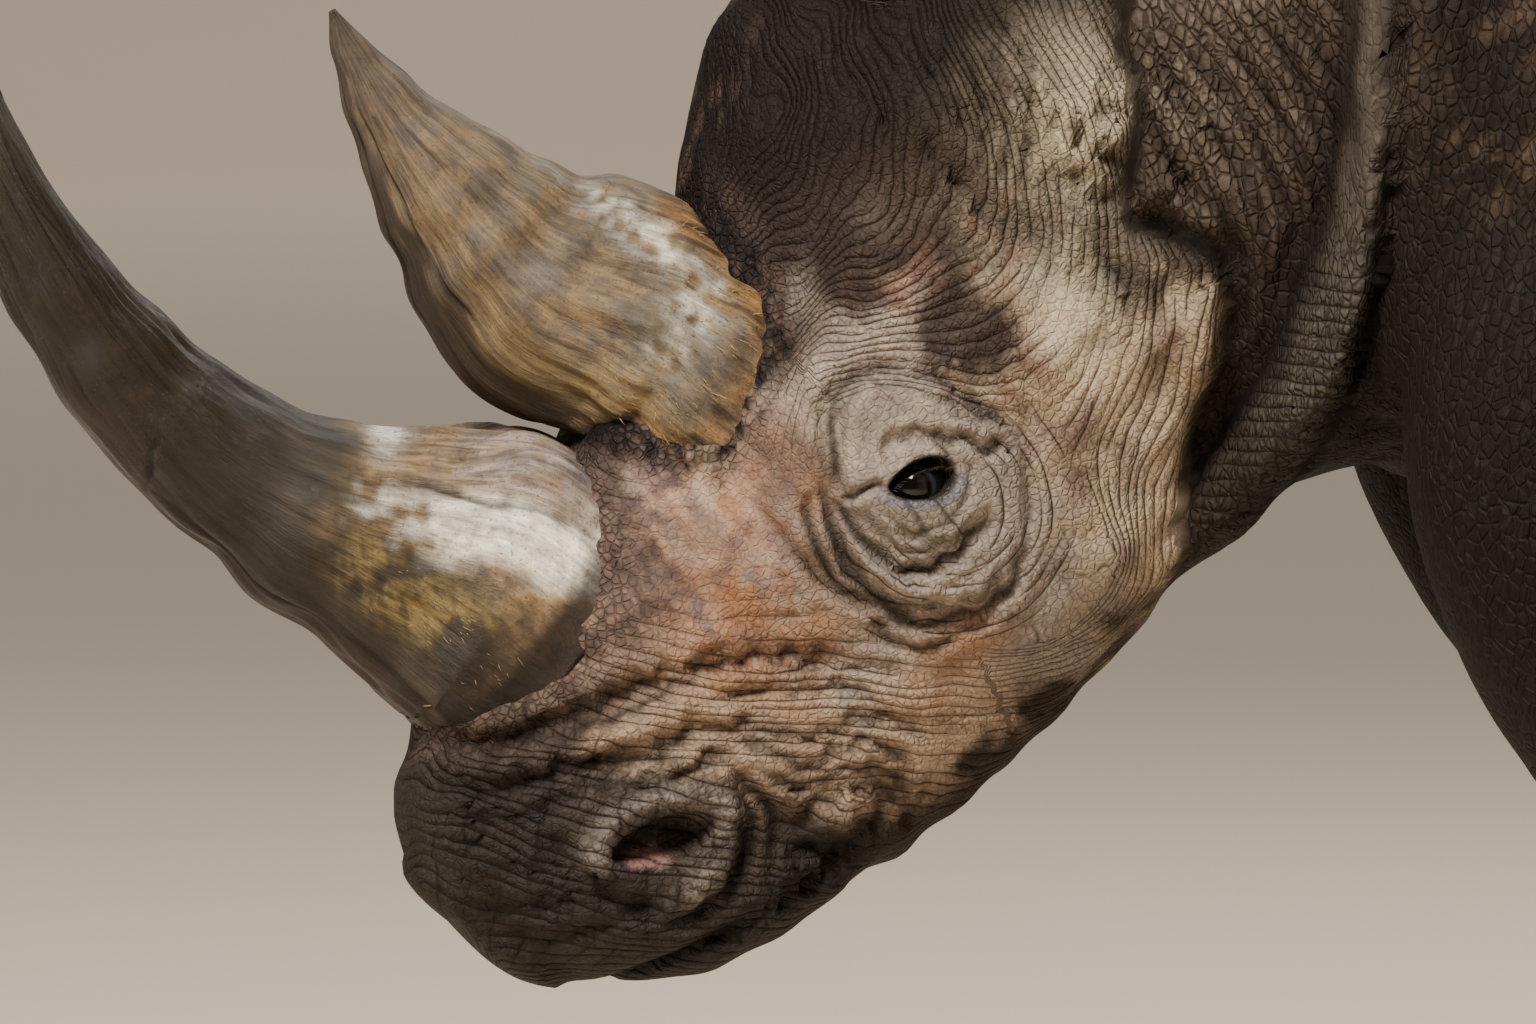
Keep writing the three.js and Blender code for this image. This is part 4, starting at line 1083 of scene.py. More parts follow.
@dataclass
class Stand:
    """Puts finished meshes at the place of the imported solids."""

    shift: Array

    @staticmethod
    def under_solids() -> "Stand":
        """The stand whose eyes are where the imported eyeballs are."""
        centres = [np.array(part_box(f"eye_{side}")).mean(axis=0) for side in ("left", "right")]
        return Stand(np.mean(centres, axis=0) / METRES - HEAD.origin)

    def put(
        self,
        name: Piece,
        body: Body,
        material: bpy.types.Material,
        slot: str,
        replaced: Sequence[str] = (),
    ) -> None:
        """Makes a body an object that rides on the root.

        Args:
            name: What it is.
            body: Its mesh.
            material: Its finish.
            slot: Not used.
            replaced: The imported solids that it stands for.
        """
        mesh = bpy.data.meshes.new(name.value)
        mesh.from_pydata(((body.points + self.shift) * METRES).tolist(), [], body.faces)
        mesh.polygons.foreach_set("use_smooth", np.ones(len(mesh.polygons), bool))
        for title, values in body.colours.items():
            layer = mesh.attributes.new(title, "FLOAT_COLOR", "POINT")
            layer.data.foreach_set("color", values.astype(np.float32).ravel())
        if body.uv is not None:
            layer = mesh.uv_layers.new(name="OFBake")
            layer.data.foreach_set("uv", body.uv.astype(np.float32).ravel())
        mesh.materials.append(material)
        mesh.update()
        made = bpy.data.objects.new(name.value, mesh)
        bpy.context.scene.collection.objects.link(made)
        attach(made, "root")
        if replaced:
            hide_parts(*replaced)
        LOG.info("%s: %d points, %d faces", name.value, len(body.points), len(body.faces))


Socket = object


class Nodes:
    """Adds nodes to a tree; all its methods but fill return output sockets."""

    def __init__(self, tree: bpy.types.NodeTree) -> None:
        """Keeps the tree."""
        self.tree = tree

    def fill(self, node: bpy.types.Node, inputs: dict[int | str, Socket]) -> None:
        """Sets a node's inputs to values, or links them to outputs."""
        for name, value in inputs.items():
            if isinstance(value, bpy.types.NodeSocket):
                self.tree.links.new(value, node.inputs[name])
            else:
                node.inputs[name].default_value = value

    def add(
        self,
        kind: str,
        inputs: dict[int | str, Socket] | None = None,
        out: int | str = 0,
        **settings: object,
    ) -> Socket:
        """One node with its inputs set to values or linked to outputs."""
        node = self.tree.nodes.new("ShaderNode" + kind)
        for name, value in settings.items():
            setattr(node, name, value)
        self.fill(node, inputs or {})
        return node.outputs[out]

    def math(self, kind: str, a: Socket, b: Socket = 0.0, c: Socket = 0.0) -> Socket:
        """One arithmetic node."""
        return self.add("Math", {0: a, 1: b, 2: c}, operation=kind)

    def times(self, *factors: Socket) -> Socket:
        """The product of its factors, the last two first."""
        *rest, product = factors
        for factor in reversed(rest):
            product = self.math("MULTIPLY", factor, product)
        return product

    def clamp(self, a: Socket) -> Socket:
        """A value kept between 0 and 1."""
        return self.add("Clamp", {0: a})

    def vector(self, kind: str, a: Socket, b: Socket) -> Socket:
        """One vector arithmetic node."""
        return self.add("VectorMath", {0: a, 1: b}, operation=kind)

    def step(
        self, value: Socket, low: Socket, high: Socket, at_low: Socket = 0.0, at_high: Socket = 1.0
    ) -> Socket:
        """A smooth rise from one value at low to another at high."""
        inputs = {0: value, 1: low, 2: high, 3: at_low, 4: at_high}
        return self.add("MapRange", inputs, interpolation_type="SMOOTHSTEP")

    def mix(self, share: Socket, a: Socket, b: Socket) -> Socket:
        """A blend of two colours."""
        return self.add("Mix", {0: share, 6: a, 7: b}, 2, data_type="RGBA")

    def noise(self, place: Socket, scale: Socket, detail: float = 3.0, rough: float = 0.55) -> Socket:
        """A cloudy noise around 0.5."""
        inputs = {"Vector": place, "Scale": scale, "Detail": detail, "Roughness": rough}
        return self.add("TexNoise", inputs)

    def bump(self, height: Socket, distance: float, strength: float = 1.0) -> Socket:
        """The surface's normal bent by a height, in units of the distance."""
        return self.add("Bump", {"Height": height, "Strength": strength, "Distance": distance})

    def attribute(self, name: str) -> tuple[Socket, Socket]:
        """The colour and the alpha that the points carry under a name."""
        node = self.add("Attribute", attribute_name=name, attribute_type="GEOMETRY").node
        return node.outputs["Color"], node.outputs["Alpha"]

    def parts(self, name: str) -> list[Socket]:
        """The four values that the points carry under a name."""
        colour, alpha = self.attribute(name)
        node = self.add("SeparateColor", {0: colour}).node
        return [*node.outputs[:3], alpha]


class Group:
    """A shared effect: a node group with named inputs and outputs."""

    def __init__(self, name: str, inputs: dict[str, tuple[str, object]], outputs: dict[str, str]) -> None:
        """Makes the group with its sockets; inputs give a kind and a starting value."""
        self.tree = bpy.data.node_groups.new(name, "ShaderNodeTree")
        for title, (kind, value) in inputs.items():
            socket = self.tree.interface.new_socket(title, in_out="INPUT", socket_type="NodeSocket" + kind)
            if value is not None:
                socket.default_value = value
        for title, kind in outputs.items():
            self.tree.interface.new_socket(title, in_out="OUTPUT", socket_type="NodeSocket" + kind)
        self.nodes = Nodes(self.tree)
        self.given = self.tree.nodes.new("NodeGroupInput").outputs
        self.result = self.tree.nodes.new("NodeGroupOutput").inputs

    def give(self, **results: Socket) -> "Group":
        """Links what the group puts out, and returns it."""
        for title, socket in results.items():
            self.tree.links.new(socket, self.result[title])
        return self

    def use(self, nodes: Nodes, **inputs: Socket) -> bpy.types.bpy_prop_collection:
        """The outputs of one use of the group in another tree."""
        node = nodes.tree.nodes.new("ShaderNodeGroup")
        node.node_tree = self.tree
        nodes.fill(node, inputs)
        return node.outputs


def plates_group() -> Group:
    """Small plates of skin between creases: cells, read as distance from a cell's edge."""
    inputs = {"Place": ("Vector", None), "Width": ("Float", 0.2)}
    group = Group("Plates", inputs, {"Plate": "Float", "Line": "Float"})
    n = group.nodes
    cells = {"Vector": group.given["Place"], "Scale": 1.0}
    edge = n.add("TexVoronoi", cells, "Distance", feature="DISTANCE_TO_EDGE")
    line = n.step(edge, 0.0, group.given["Width"], 1.0, 0.0)
    return group.give(Plate=n.step(edge, 0.0, 0.17), Line=line)


def ridges_group() -> Group:
    """Ridges side by side that stray and break off: |sin(pi (across + stray * noise))|.

    Place's x runs along the ridges and its y across them, one unit to a ridge.
    """
    inputs = {"Place": ("Vector", None), "Stray": ("Float", 1.6), "Broken": ("Float", 0.45)}
    group = Group("Ridges", inputs, {"Fold": "Float", "Line": "Float"})
    n = group.nodes
    stray = n.noise(n.vector("MULTIPLY", group.given["Place"], (1.0, 0.30, 0.6)), 1.0, 2, 0.55)
    parts = n.add("SeparateXYZ", {0: group.given["Place"]}).node
    lane = n.math("MULTIPLY_ADD", n.math("SUBTRACT", stray, 0.5), group.given["Stray"], parts.outputs["Y"])
    ridge = n.math("ABSOLUTE", n.math("SINE", n.math("MULTIPLY", lane, math.pi)))
    cloud = n.noise(n.vector("ADD", group.given["Place"], (7.3, 3.1, 0.0)), 0.9, 1, 0.5)
    kept = n.step(cloud, group.given["Broken"], n.math("ADD", group.given["Broken"], 0.16))
    line = n.math("MULTIPLY", kept, n.step(ridge, 0.0, 0.42, 1.0, 0.0))
    groove = n.math("MULTIPLY", kept, n.math("SUBTRACT", 1.0, n.math("POWER", ridge, 0.55)))
    return group.give(Fold=n.math("SUBTRACT", 1.0, groove), Line=line)


def mottle_group() -> Group:
    """Blotches of many sizes: one noise read as pale dust above its middle and as dirt below."""
    inputs = {"Place": ("Vector", None), "Size": ("Float", 0.02)}
    group = Group("Mottle", inputs, {"Pale": "Float", "Dirty": "Float"})
    n = group.nodes
    cloud = n.noise(group.given["Place"], n.math("DIVIDE", 1.0, group.given["Size"]), 6, 0.72)
    return group.give(Pale=n.step(cloud, 0.50, 0.72), Dirty=n.step(cloud, 0.50, 0.30))


def grain_group() -> Group:
    """Fine pits and dust: two cloudy noises, one for small relief and one for drifts of dust."""
    inputs = {"Place": ("Vector", None), "Size": ("Float", 0.003)}
    group = Group("Grain", inputs, {"Relief": "Float", "Drift": "Float"})
    n = group.nodes
    scale = n.math("DIVIDE", 1.0, group.given["Size"])
    relief = n.noise(group.given["Place"], scale, 2, 0.65)
    drift = n.noise(group.given["Place"], n.math("MULTIPLY", scale, 0.07), 3, 0.6)
    return group.give(Relief=relief, Drift=drift)


def material(name: str) -> tuple[bpy.types.Material, Nodes, bpy.types.Node]:
    """A new material, the nodes of its tree and its shader."""
    made = bpy.data.materials.new(name)
    made.use_nodes = True
    shader = made.node_tree.nodes["Principled BSDF"]
    return made, Nodes(made.node_tree), shader


def linear(red: float, green: float, blue: float) -> Array:
    """A colour in 0 to 255 as linear light."""
    c = np.array([red, green, blue]) / 255
    return np.where(c <= 0.04045, c / 12.92, ((c + 0.055) / 1.055) ** 2.4)


def blend(base: Array, colour: Array, share: Array) -> Array:
    """Colours moved towards another by a share at each point."""
    share = np.clip(share, 0, 1)[:, None]
    return base * (1 - share) + colour * share


def rgba(colour: Array) -> Array:
    """Colours with a full fourth channel."""
    return np.concatenate([colour, np.ones((len(colour), 1))], axis=1)


@dataclass(frozen=True)
class HideFinish:
    """Dry, creased hide: folds and plates, dirt and painted shade in the creases and pits, dust and wet
    places.
    """

    # Colour of dirt, and of the painted shade in the creases and pits.
    dirt_and_shade: Four = (0.012, 0.008, 0.006, 1)
    dust: Four = (0.40, 0.33, 0.25, 1)
    rough: float = 0.62
    depth: float = 0.0030  # of the coarsest creases, in metres
    plate: float = 0.0066  # breadth of the cobbles of the neck and shoulder
    small: float = 0.0052  # breadth of the plates of the face
    grain: float = 0.0026  # breadth of the pits
    blotch: float = 0.026  # breadth of the patches of dust and dirt
    def made(self, plates: Group, ridges: Group, mottle: Group, grain: Group) -> bpy.types.Material:
        """The material. It reads the hide's own attributes and Object coordinates."""
        finish, n, shader = material("hide")
        place = n.add("TexCoord", out="Object")
        tint, _ = n.attribute("tint")
        eye, comb, checker, body = n.parts("zones")
        finish, n, shader = material("hide")
        place = n.add("TexCoord", out="Object")
        tint, _ = n.attribute("tint")
        eye, comb, checker, body = n.parts("zones")
        crust, wet, dusty, cobbled = n.parts("marks")
        flow_place, _ = n.attribute("flow")
        ring_place, _ = n.attribute("rings")
        lanes = ridges.use(n, Place=flow_place, Stray=1.2, Broken=0.30)
        rings = ridges.use(n, Place=ring_place, Stray=1.2, Broken=0.42)
        swapped = n.vector("MULTIPLY", flow_place, (2.6, 0.3, 1.0))
        parts = n.add("SeparateXYZ", {0: swapped}).node.outputs
        crossing = n.add("CombineXYZ", {0: parts["Y"], 1: parts["X"], 2: parts["Z"]})
        rungs = ridges.use(n, Place=crossing, Stray=1.5, Broken=0.40)
        size = n.step(body, 0.4, 0.6, self.small, self.plate)
        tall = n.math("MULTIPLY", size, n.math("MULTIPLY_ADD", body, 0.45, 1.0))
        cell = n.add("CombineXYZ", {0: size, 1: size, 2: tall})
        cells = plates.use(n, Place=n.vector("DIVIDE", place, cell), Width=0.20)
        plate, line = 0.0, 0.0
        for weight, made, title, strength in (
            (eye, rings, "Fold", 0.7),
            (comb, lanes, "Fold", 0.9),
            (checker, rungs, "Fold", 0.65),
            (cobbled, cells, "Plate", 0.75),
        ):
            share = n.math("MULTIPLY", weight, strength)
            plate = n.math("MULTIPLY_ADD", share, made[title], plate)
            line = n.math("MAXIMUM", line, n.math("MULTIPLY", weight, made["Line"]))
        relief = grain.use(n, Place=place, Size=self.grain)["Relief"]
        blotch = mottle.use(n, Place=place, Size=self.blotch)
        pits = n.clamp(n.math("MULTIPLY_ADD", relief, -2.2, 1.15))
        settled = n.step(n.math("MULTIPLY_ADD", plate, 0.14, relief), 0.62, 0.86)
        colour = n.mix(n.times(blotch["Dirty"], 0.50), tint, n.mix(0.75, tint, self.dirt_and_shade))
        # The crease lines and the pits are darkened with dirt and painted shade.
        for share, coat in (
            (n.times(blotch["Pale"], dusty, 0.75), self.dust),
            (n.times(line, 0.78), self.dirt_and_shade),
            (n.times(pits, 0.5), self.dirt_and_shade),
            (n.times(settled, dusty, 0.5), self.dust),
        ):
            colour = n.mix(share, colour, coat)
        dry = n.math("MULTIPLY_ADD", relief, 0.2, self.rough - 0.02)
        dry = n.math("MULTIPLY_ADD", crust, -0.14, dry)
        height = n.math("MULTIPLY_ADD", relief, 0.26, plate)
        inputs = {
            "Base Color": colour,
            "Roughness": n.math("MULTIPLY_ADD", wet, -0.5, dry),
            "Specular IOR Level": 0.12,
            "Normal": n.bump(height, self.depth),
        }
        n.fill(shader, inputs)
        return finish


# ------------------------------------------------------------------ the hide


@dataclass(frozen=True)
class Chart:
    """One patch of the unwrap: a tube's angle runs across it and its length up it."""

    axes: Axes
    middle: tuple[float, float]  # side and up of the tube's middle
    span: tuple[float, float]  # along
    reference: float  # radius below which a rounded end is spread out
    box: Four

    def turn_and_run(self, points: Array) -> tuple[Array, Array]:
        """The angle round the tube, as a share of a turn, and the share of its length."""
        a, s, u = self.axes.local(points).T
        s, u = s - self.middle[0], u - self.middle[1]
        turn = np.arctan2(s, -u) / TURN + 0.5
        spread = np.maximum(self.reference - np.hypot(s, u), 0)
        mid = sum(self.span) / 2
        run = a + np.sign(a - mid) * spread
        return turn, (run - self.span[0]) / (self.span[1] - self.span[0])

    def placed(self, turn: Array, run: Array) -> Array:
        """Where an angle and a length are on the unwrap; the angle may pass one turn a little."""
        return in_box(self.box, np.clip(turn / 1.06, 0, 1), np.clip(run, 0, 1))


def in_box(box: Four, right: Array, up: Array) -> Array:
    """Places in a box of the unwrap, given by their shares of its sides."""
    u0, v0, u1, v1 = box
    return np.stack([u0 + right * (u1 - u0), v0 + up * (v1 - v0)], axis=1)


def leg_chart(name: str, number: int) -> Chart:
    """The chart of one leg."""
    leg = LEGS[name]
    middle = (-leg.side * 240.0, -(leg.foot + 10.0))
    low = 0.02 + 0.125 * number
    return Chart(UPRIGHT, middle, (-90, 1000), 70, (0.66, low, 0.99, low + 0.115))


HEAD_CHART = Chart(HEAD, (0, 5), (-420, 450), 70, (0.005, 0.36, 0.64, 0.995))
TRUNK_CHART = Chart(TRUNK, (0, 940), (150, 2600), 120, (0.005, 0.005, 0.64, 0.35))
LEG_CHARTS = [leg_chart(name, n) for n, name in enumerate(LEGS)]
EAR_BOXES = ((0.66, 0.54, 0.82, 0.76), (0.83, 0.54, 0.99, 0.76))
TAIL_BOX = (0.66, 0.78, 0.82, 0.99)


def corner_uv(points: Array, faces: list[list[int]], charts: Sequence[Chart], near: Array) -> Array:
    """Where each corner of each face lies on the unwrap.

    Args:
        points: The body's points.
        faces: Its faces.
        charts: The charts that its faces lie on.
        near: For each face, which chart that is.

    Returns:
        One place for each corner.
    """
    sizes = np.array([len(face) for face in faces])
    corner = np.concatenate([np.asarray(face) for face in faces])
    owner = np.repeat(np.arange(len(faces)), sizes)
    start = np.cumsum(sizes) - sizes
    out = np.zeros((len(corner), 2))
    for number, chart in enumerate(charts):
        mine = near[owner] == number
        if not mine.any():
            continue
        turn, run = np.zeros(len(corner)), np.zeros(len(corner))
        turn[mine], run[mine] = chart.turn_and_run(points[corner[mine]])
        wide = np.maximum.reduceat(turn, start) - np.minimum.reduceat(turn, start) > 0.5
        turn = np.where(wide[owner] & (turn < 0.5), turn + 1, turn)
        out[mine] = chart.placed(turn, run)[mine]
    return out


def box_uv(rows: int, columns: int, box: Four, faces: list[list[int]]) -> Array:
    """Where each corner of a grid's faces lies in a box of the unwrap; its columns close."""
    out = []
    for face in faces:
        spot = np.array(face)
        row, column = np.minimum(spot // columns, rows), (spot % columns).astype(float)
        if column.max() - column.min() > columns / 2:
            column[column < columns / 2] += columns
        right, up = column / (columns + 1), row / (rows + 1)
        out.append(in_box(box, right, up))
    return np.concatenate(out)


def layered(tint: Array, *coats: tuple[Array, Array]) -> Array:
    """Colours with coats laid over them in turn, each a colour and its share at each point."""
    for colour, share in coats:
        tint = blend(tint, colour, share)
    return tint


def even(values: Sequence[float], count: int) -> Array:
    """The same values at each of a number of points."""
    return np.tile(np.array(values, float), (count, 1))


@dataclass(frozen=True)
class HeadPlaces:
    """Places on the head, folded over its middle plane, with the noises that blur its colours."""

    q: Array
    cloud: Array
    speck: Array
    grain: Array

    @staticmethod
    def of(p: Array) -> "HeadPlaces":
        """The places of points in the head's frame."""
        q = np.stack(folded(p), axis=1)
        return HeadPlaces(q, wobble(q, 70, 61), wobble(q, 26, 62), wobble(q, 11, 67))

    @property
    def edge(self) -> Array:
        """How far the borders of the large areas of colour stray at each place."""
        return np.clip(10 * self.cloud + 5 * self.speck, -15, 15)

    @property
    def high(self) -> Array:
        """How far towards the crown each place is."""
        return 0.6 * self.q[:, 2] - 0.8 * self.q[:, 0] + self.edge

    def brow(self) -> Array:
        """How much of the dark brow there is at each place."""
        s, _, v = self.q.T
        over = step_up(v + self.edge, 108, 140) * (1 - step_up(s, 90, 150))
        return np.maximum(step_up(self.high, 98, 126), over)


class Paint:
    """Colours and zones of the hide, worked out at its points."""

    GREY = linear(134, 121, 110)
    SLATE = linear(104, 96, 90)
    BODY = linear(44, 35, 29)
    # The neck's colour, partly its own and partly painted light where the head shades it.
    NECK = linear(86, 74, 62)
    # Painted shade: low on the chest and neck, and in the creases beside the neck's roll.
    SHADE = linear(24, 16, 12)
    ROLLED = linear(72, 66, 58)
    # Dark shoulder skin, made darker still as painted shade.
    SHADED_SHOULDER = linear(22, 15, 11)
    MUZZLE = linear(44, 38, 34)
    SNOUT = linear(56, 47, 41)
    FOLD = linear(148, 124, 104)
    # Pale cheek, partly its own colour and partly painted light where the cheek turns from the lamp.
    COMB = linear(186, 164, 138)
    # Painted shade on the underside of the jaw.
    JAW_SHADE = linear(40, 31, 24)
    CLAY = linear(138, 98, 68)
    ROSE = linear(172, 140, 118)
    RUST = linear(128, 78, 54)
    PLUM = linear(92, 76, 76)
    BROW = linear(33, 25, 22)
    CROWN = linear(24, 17, 13)
    PALE = linear(186, 172, 145)
    LOBE = linear(176, 160, 134)
    DUSTY = linear(104, 90, 74)
    BLACK = linear(16, 12, 13)
    PINK = linear(196, 138, 130)
    SCAR = linear(132, 98, 84)
    # Painted shade laid into the creases of the face and neck.
    CREASE_SHADE = linear(20, 13, 10)
    CLOUDED = linear(92, 74, 56)
    # Painted shadow low on the chest before the shoulder.
    CHEST_SHADOW = linear(10, 7, 5)
    BAND = linear(70, 56, 50)
    LID = linear(116, 118, 130)
    # Plum patches by the horns: centre and radii.
    PLUMS = (
        ((134, 77, 84), (14, 60, 40)),
        ((105, 75, 102), (9, 60, 20)),
        ((88, 70, 122), (14, 60, 11)),
    )
    # Browner skin behind the eye, on the rear cheek, before the eye and under the rear horn:
    # colour, centre and radii.
    BROWNS = (
        (linear(112, 88, 70), (-84, 138, -2), (22, 60, 30)),
        (linear(108, 90, 74), (-80, 128, -72), (28, 60, 30)),
        (linear(112, 96, 82), (-156, 133, -76), (30, 60, 34)),
        (linear(100, 80, 68), (30, 100, 77), (26, 60, 22)),
        (linear(122, 98, 82), (101, 83, 77), (14, 60, 18)),
        (linear(100, 84, 72), (22, 122, 30), (9, 60, 13)),
        (linear(88, 72, 60), (48, 112, 8), (9, 60, 16)),
        (linear(72, 58, 50), (-24, 84, 114), (26, 60, 18)),
    )

    def __init__(self, flesh: "Flesh") -> None:
        """Keeps the flesh, whose openings it reads."""
        self.flesh = flesh

    def body_tint(self, p: Array) -> Array:
        """The colour away from the head: a dark shoulder deepened by painted shade, a neck lightened by
        painted light, painted shade low on the chest and beside the neck's roll, a dusty back and mud on the
        feet.
        """
        x, z = p[:, 0], p[:, 2]
        cloud = wobble(p, 260, 51)
        behind = x - ROLL.at(z)[0]
        shoulder = step_up(behind, -8, 14) * (1 - step_up(x, 800, 1300))
        across = np.abs(across_roll(p))
        on_roll = (1 - step_up(across, 0.55, 0.95)) * step_up(z, 600, 680)
        beside = 0.85 * np.exp(-(((across - 1.12) / 0.2) ** 2)) * step_up(z, 560, 640)
        return layered(
            self.BODY,
            # Lighter neck: partly its own colour, partly painted light.
            (self.NECK, step_up(x, 60, 220)),
            # Painted shade low on the chest and under the neck.
            (self.SHADE, (1 - step_up(z, 640, 860)) * (1 - step_up(x, 500, 900)) * 0.8),
            (self.BODY, 0.7 * step_up(behind, -110, -30)),
            # The shoulder's dark skin, darkened further as painted shade.
            (self.SHADED_SHOULDER, shoulder * np.clip(0.9 + 0.08 * cloud, 0.75, 1)),
            (self.ROLLED, 0.9 * on_roll),
            # Painted shade in the creases along both sides of the neck's roll.
            (self.SHADE, beside * (1 - step_up(z, 1000, 1200))),
            (self.DUSTY, (0.45 + 0.3 * cloud) * step_up(z, 1150, 1420) * step_up(x, 350, 700)),
            (self.DUSTY, (0.35 + 0.35 * wobble(p, 120, 53)) * (1 - step_up(z, 60, 420))),
        )

    def head_tint(self, p: Array) -> Array:
        """The colour of the head, in places named by the head's own frame."""
        at = HeadPlaces.of(p)
        s, l, v = at.q.T
        below = 1 - step_up(v + 0.35 * (s - 60) + at.edge, -78, -40)
        tint = layered(
            self.GREY,
            # Pale cheek and rear of the face: partly painted light.
            (self.COMB, 1 - step_up(s + 0.25 * v + at.edge, -100, -50)),
            (self.FOLD, np.maximum(below * step_up(s, 20, 90), step_up(s + at.edge, 110, 165))),
            # Painted shade under the jaw.
            (self.JAW_SHADE, 1 - step_up(v - 0.25 * s + at.edge, -174, -140)),
        )
        tint = self._bare_tint(tint, at)
        tint = self._rear_tint(tint, at)
        # the muzzle, dark in front, and the bag of the eye
        snout = step_up(s - 0.35 * (v + 20) + at.edge, 192, 232)
        lip = 1 - step_up(v + 0.3 * (s - 230) + at.edge, -82, -56)
        ring, _ = eye_ring(s, v)
        return layered(
            tint,
            (self.SNOUT, snout * (1 - 0.4 * step_up(v, 20, 80))),
            (self.MUZZLE, step_up(s + 0.3 * v + 0.7 * at.edge, 250, 282)),
            (self.CROWN, 0.8 * swell(at.q, (262, 60, 96), (34, 60, 26))),
            (self.MUZZLE, step_up(s, 150, 220) * lip),
            (self.GREY, 0.8 * (1 - step_up(ring, 48, 74)) * step_up(l, 60, 90)),
        )

    def _bare_tint(self, tint: Array, at: HeadPlaces) -> Array:
        """Bare skin between the horns and the eye: rosy, with plum, clay and rust patches."""
        q, cloud, speck, grain = at.q, at.cloud, at.speck, at.grain
        bare = swell(q, (92, 80, 88), (66, 80, 44))
        clay = swell(q, (118, 80, 30), (44, 80, 56))
        clay = np.maximum(clay, 0.5 * swell(q, (58, 80, -84), (50, 80, 22)))
        clay = np.maximum(clay, 0.7 * swell(q, (40, 85, 62), (16, 80, 34)))
        plum = step_up(speck + 0.5 * grain, 0.2, 1.2) * step_up(bare + 0.4 * clay, 0.15, 0.6)
        rust = step_up(-speck + 0.6 * grain, 0.3, 1.3) * step_up(bare + clay, 0.15, 0.7)
        return layered(
            tint,
            (self.ROSE, 1.3 * bare),
            (self.CLAY, clay * (1.0 + 0.35 * cloud + 0.25 * speck)),
            (self.PLUM, 0.75 * plum),
            (self.RUST, 0.6 * rust),
            *[(self.PLUM, 0.85 * swell(q, *place) * (0.8 + 0.3 * grain)) for place in self.PLUMS],
            (self.PALE, 0.8 * swell(q, (54, 74, 114), (15, 60, 10)) * (0.8 + 0.4 * grain)),
        )

    def _rear_tint(self, tint: Array, at: HeadPlaces) -> Array:
        """The dark brow and crown, and the patches round and behind the eye."""
        q, cloud, speck, grain = at.q, at.cloud, at.speck, at.grain
        s, _, v = q.T
        brow = at.brow()
        uneven = np.clip(0.9 + 0.25 * speck, 0.5, 1.2)
        lobe = swell(q, (-222, 150, 66), (44, 80, 42))
        drift = wobble(q * [1, 1, 0.45], 26, 69)
        rear = (1 - step_up(s + 0.4 * v, -90, -10)) * (1 - brow)
        scar = 1.2 * swell(q, (-90, 130, 78), (14, 80, 14))
        flushed = 0.35 * swell(q, (-100, 120, 40), (70, 70, 60))
        over = swell(q, (-87, 140, 38), (27, 80, 34)) + 0.05 * grain
        above = 1.25 * swell(q, (-82, 100, 132), (36, 80, 30))
        behind = 1.1 * swell(q, (-134, 128, 108), (46, 60, 24))
        return layered(
            tint,
            (self.BROW, brow * np.clip(0.96 + 0.06 * cloud, 0.88, 1)),
            (self.CROWN, step_up(at.high, 140, 190)),
            (self.SCAR, scar * step_up(speck + 0.5 * grain, -1.2, 0.0)),
            (self.PALE, 1.25 * swell(q, (-130, 130, -7), (26, 60, 42)) * (0.9 + 0.15 * speck)),
            *[(shade, 1.15 * swell(q, *place) * uneven) for shade, *place in self.BROWNS],
            (self.LOBE, 1.3 * lobe * np.clip(0.95 + 0.2 * cloud, 0.6, 1.1)),
            (self.RUST, flushed * step_up(speck, 0.2, 1.0)),
            (linear(104, 80, 74), 0.42 * rear * step_up(drift, 0.0, 1.1)),
            (linear(160, 138, 104), 0.45 * rear * step_up(-drift, 0.1, 1.2)),
            (linear(34, 23, 22), 0.94 * step_up(over, 0.2, 0.55)),
            (linear(44, 35, 33), above * np.clip(0.9 + 0.15 * speck, 0.6, 1.1)),
            (linear(60, 47, 38), behind * np.clip(0.9 + 0.2 * speck, 0.5, 1.1)),
        )

    def of(self, points: Array) -> dict[str, Array]:
        """All that the hide's points carry: tint, zones, marks and the places of its creases."""
        p = HEAD.local(points)
        s, l, v = folded(p)
        q = np.stack([s, l, v], axis=1)
        x, y, z = points.T
        border = s - HEAD_EDGE.at(v)[0] + 2 * wobble(points, 40, 68)
        back = 1 - step_up(border, -5, 5)
        crust = self.flesh.crust(p) * (1 - back)
        tint = self.head_tint(p) * (1 - back[:, None]) + self.body_tint(points) * back[:, None]
        tint = self._patched(tint, points, q, back, crust)
        tint, wet = self._opened(tint, q)
        _, creased = face_creases(p)
        _, pleat_shade = neck_creases(points)
        creased = creased * step_up(l, 22, 48) * (s > -330)
        dark = np.maximum(creased, pleat_shade * step_up(np.abs(y), 40, 90) * back)
        # Painted shade: the face's and neck's creases are darkened where shade falls in them.
        tint = blend(tint, self.CREASE_SHADE, 0.85 * dark)

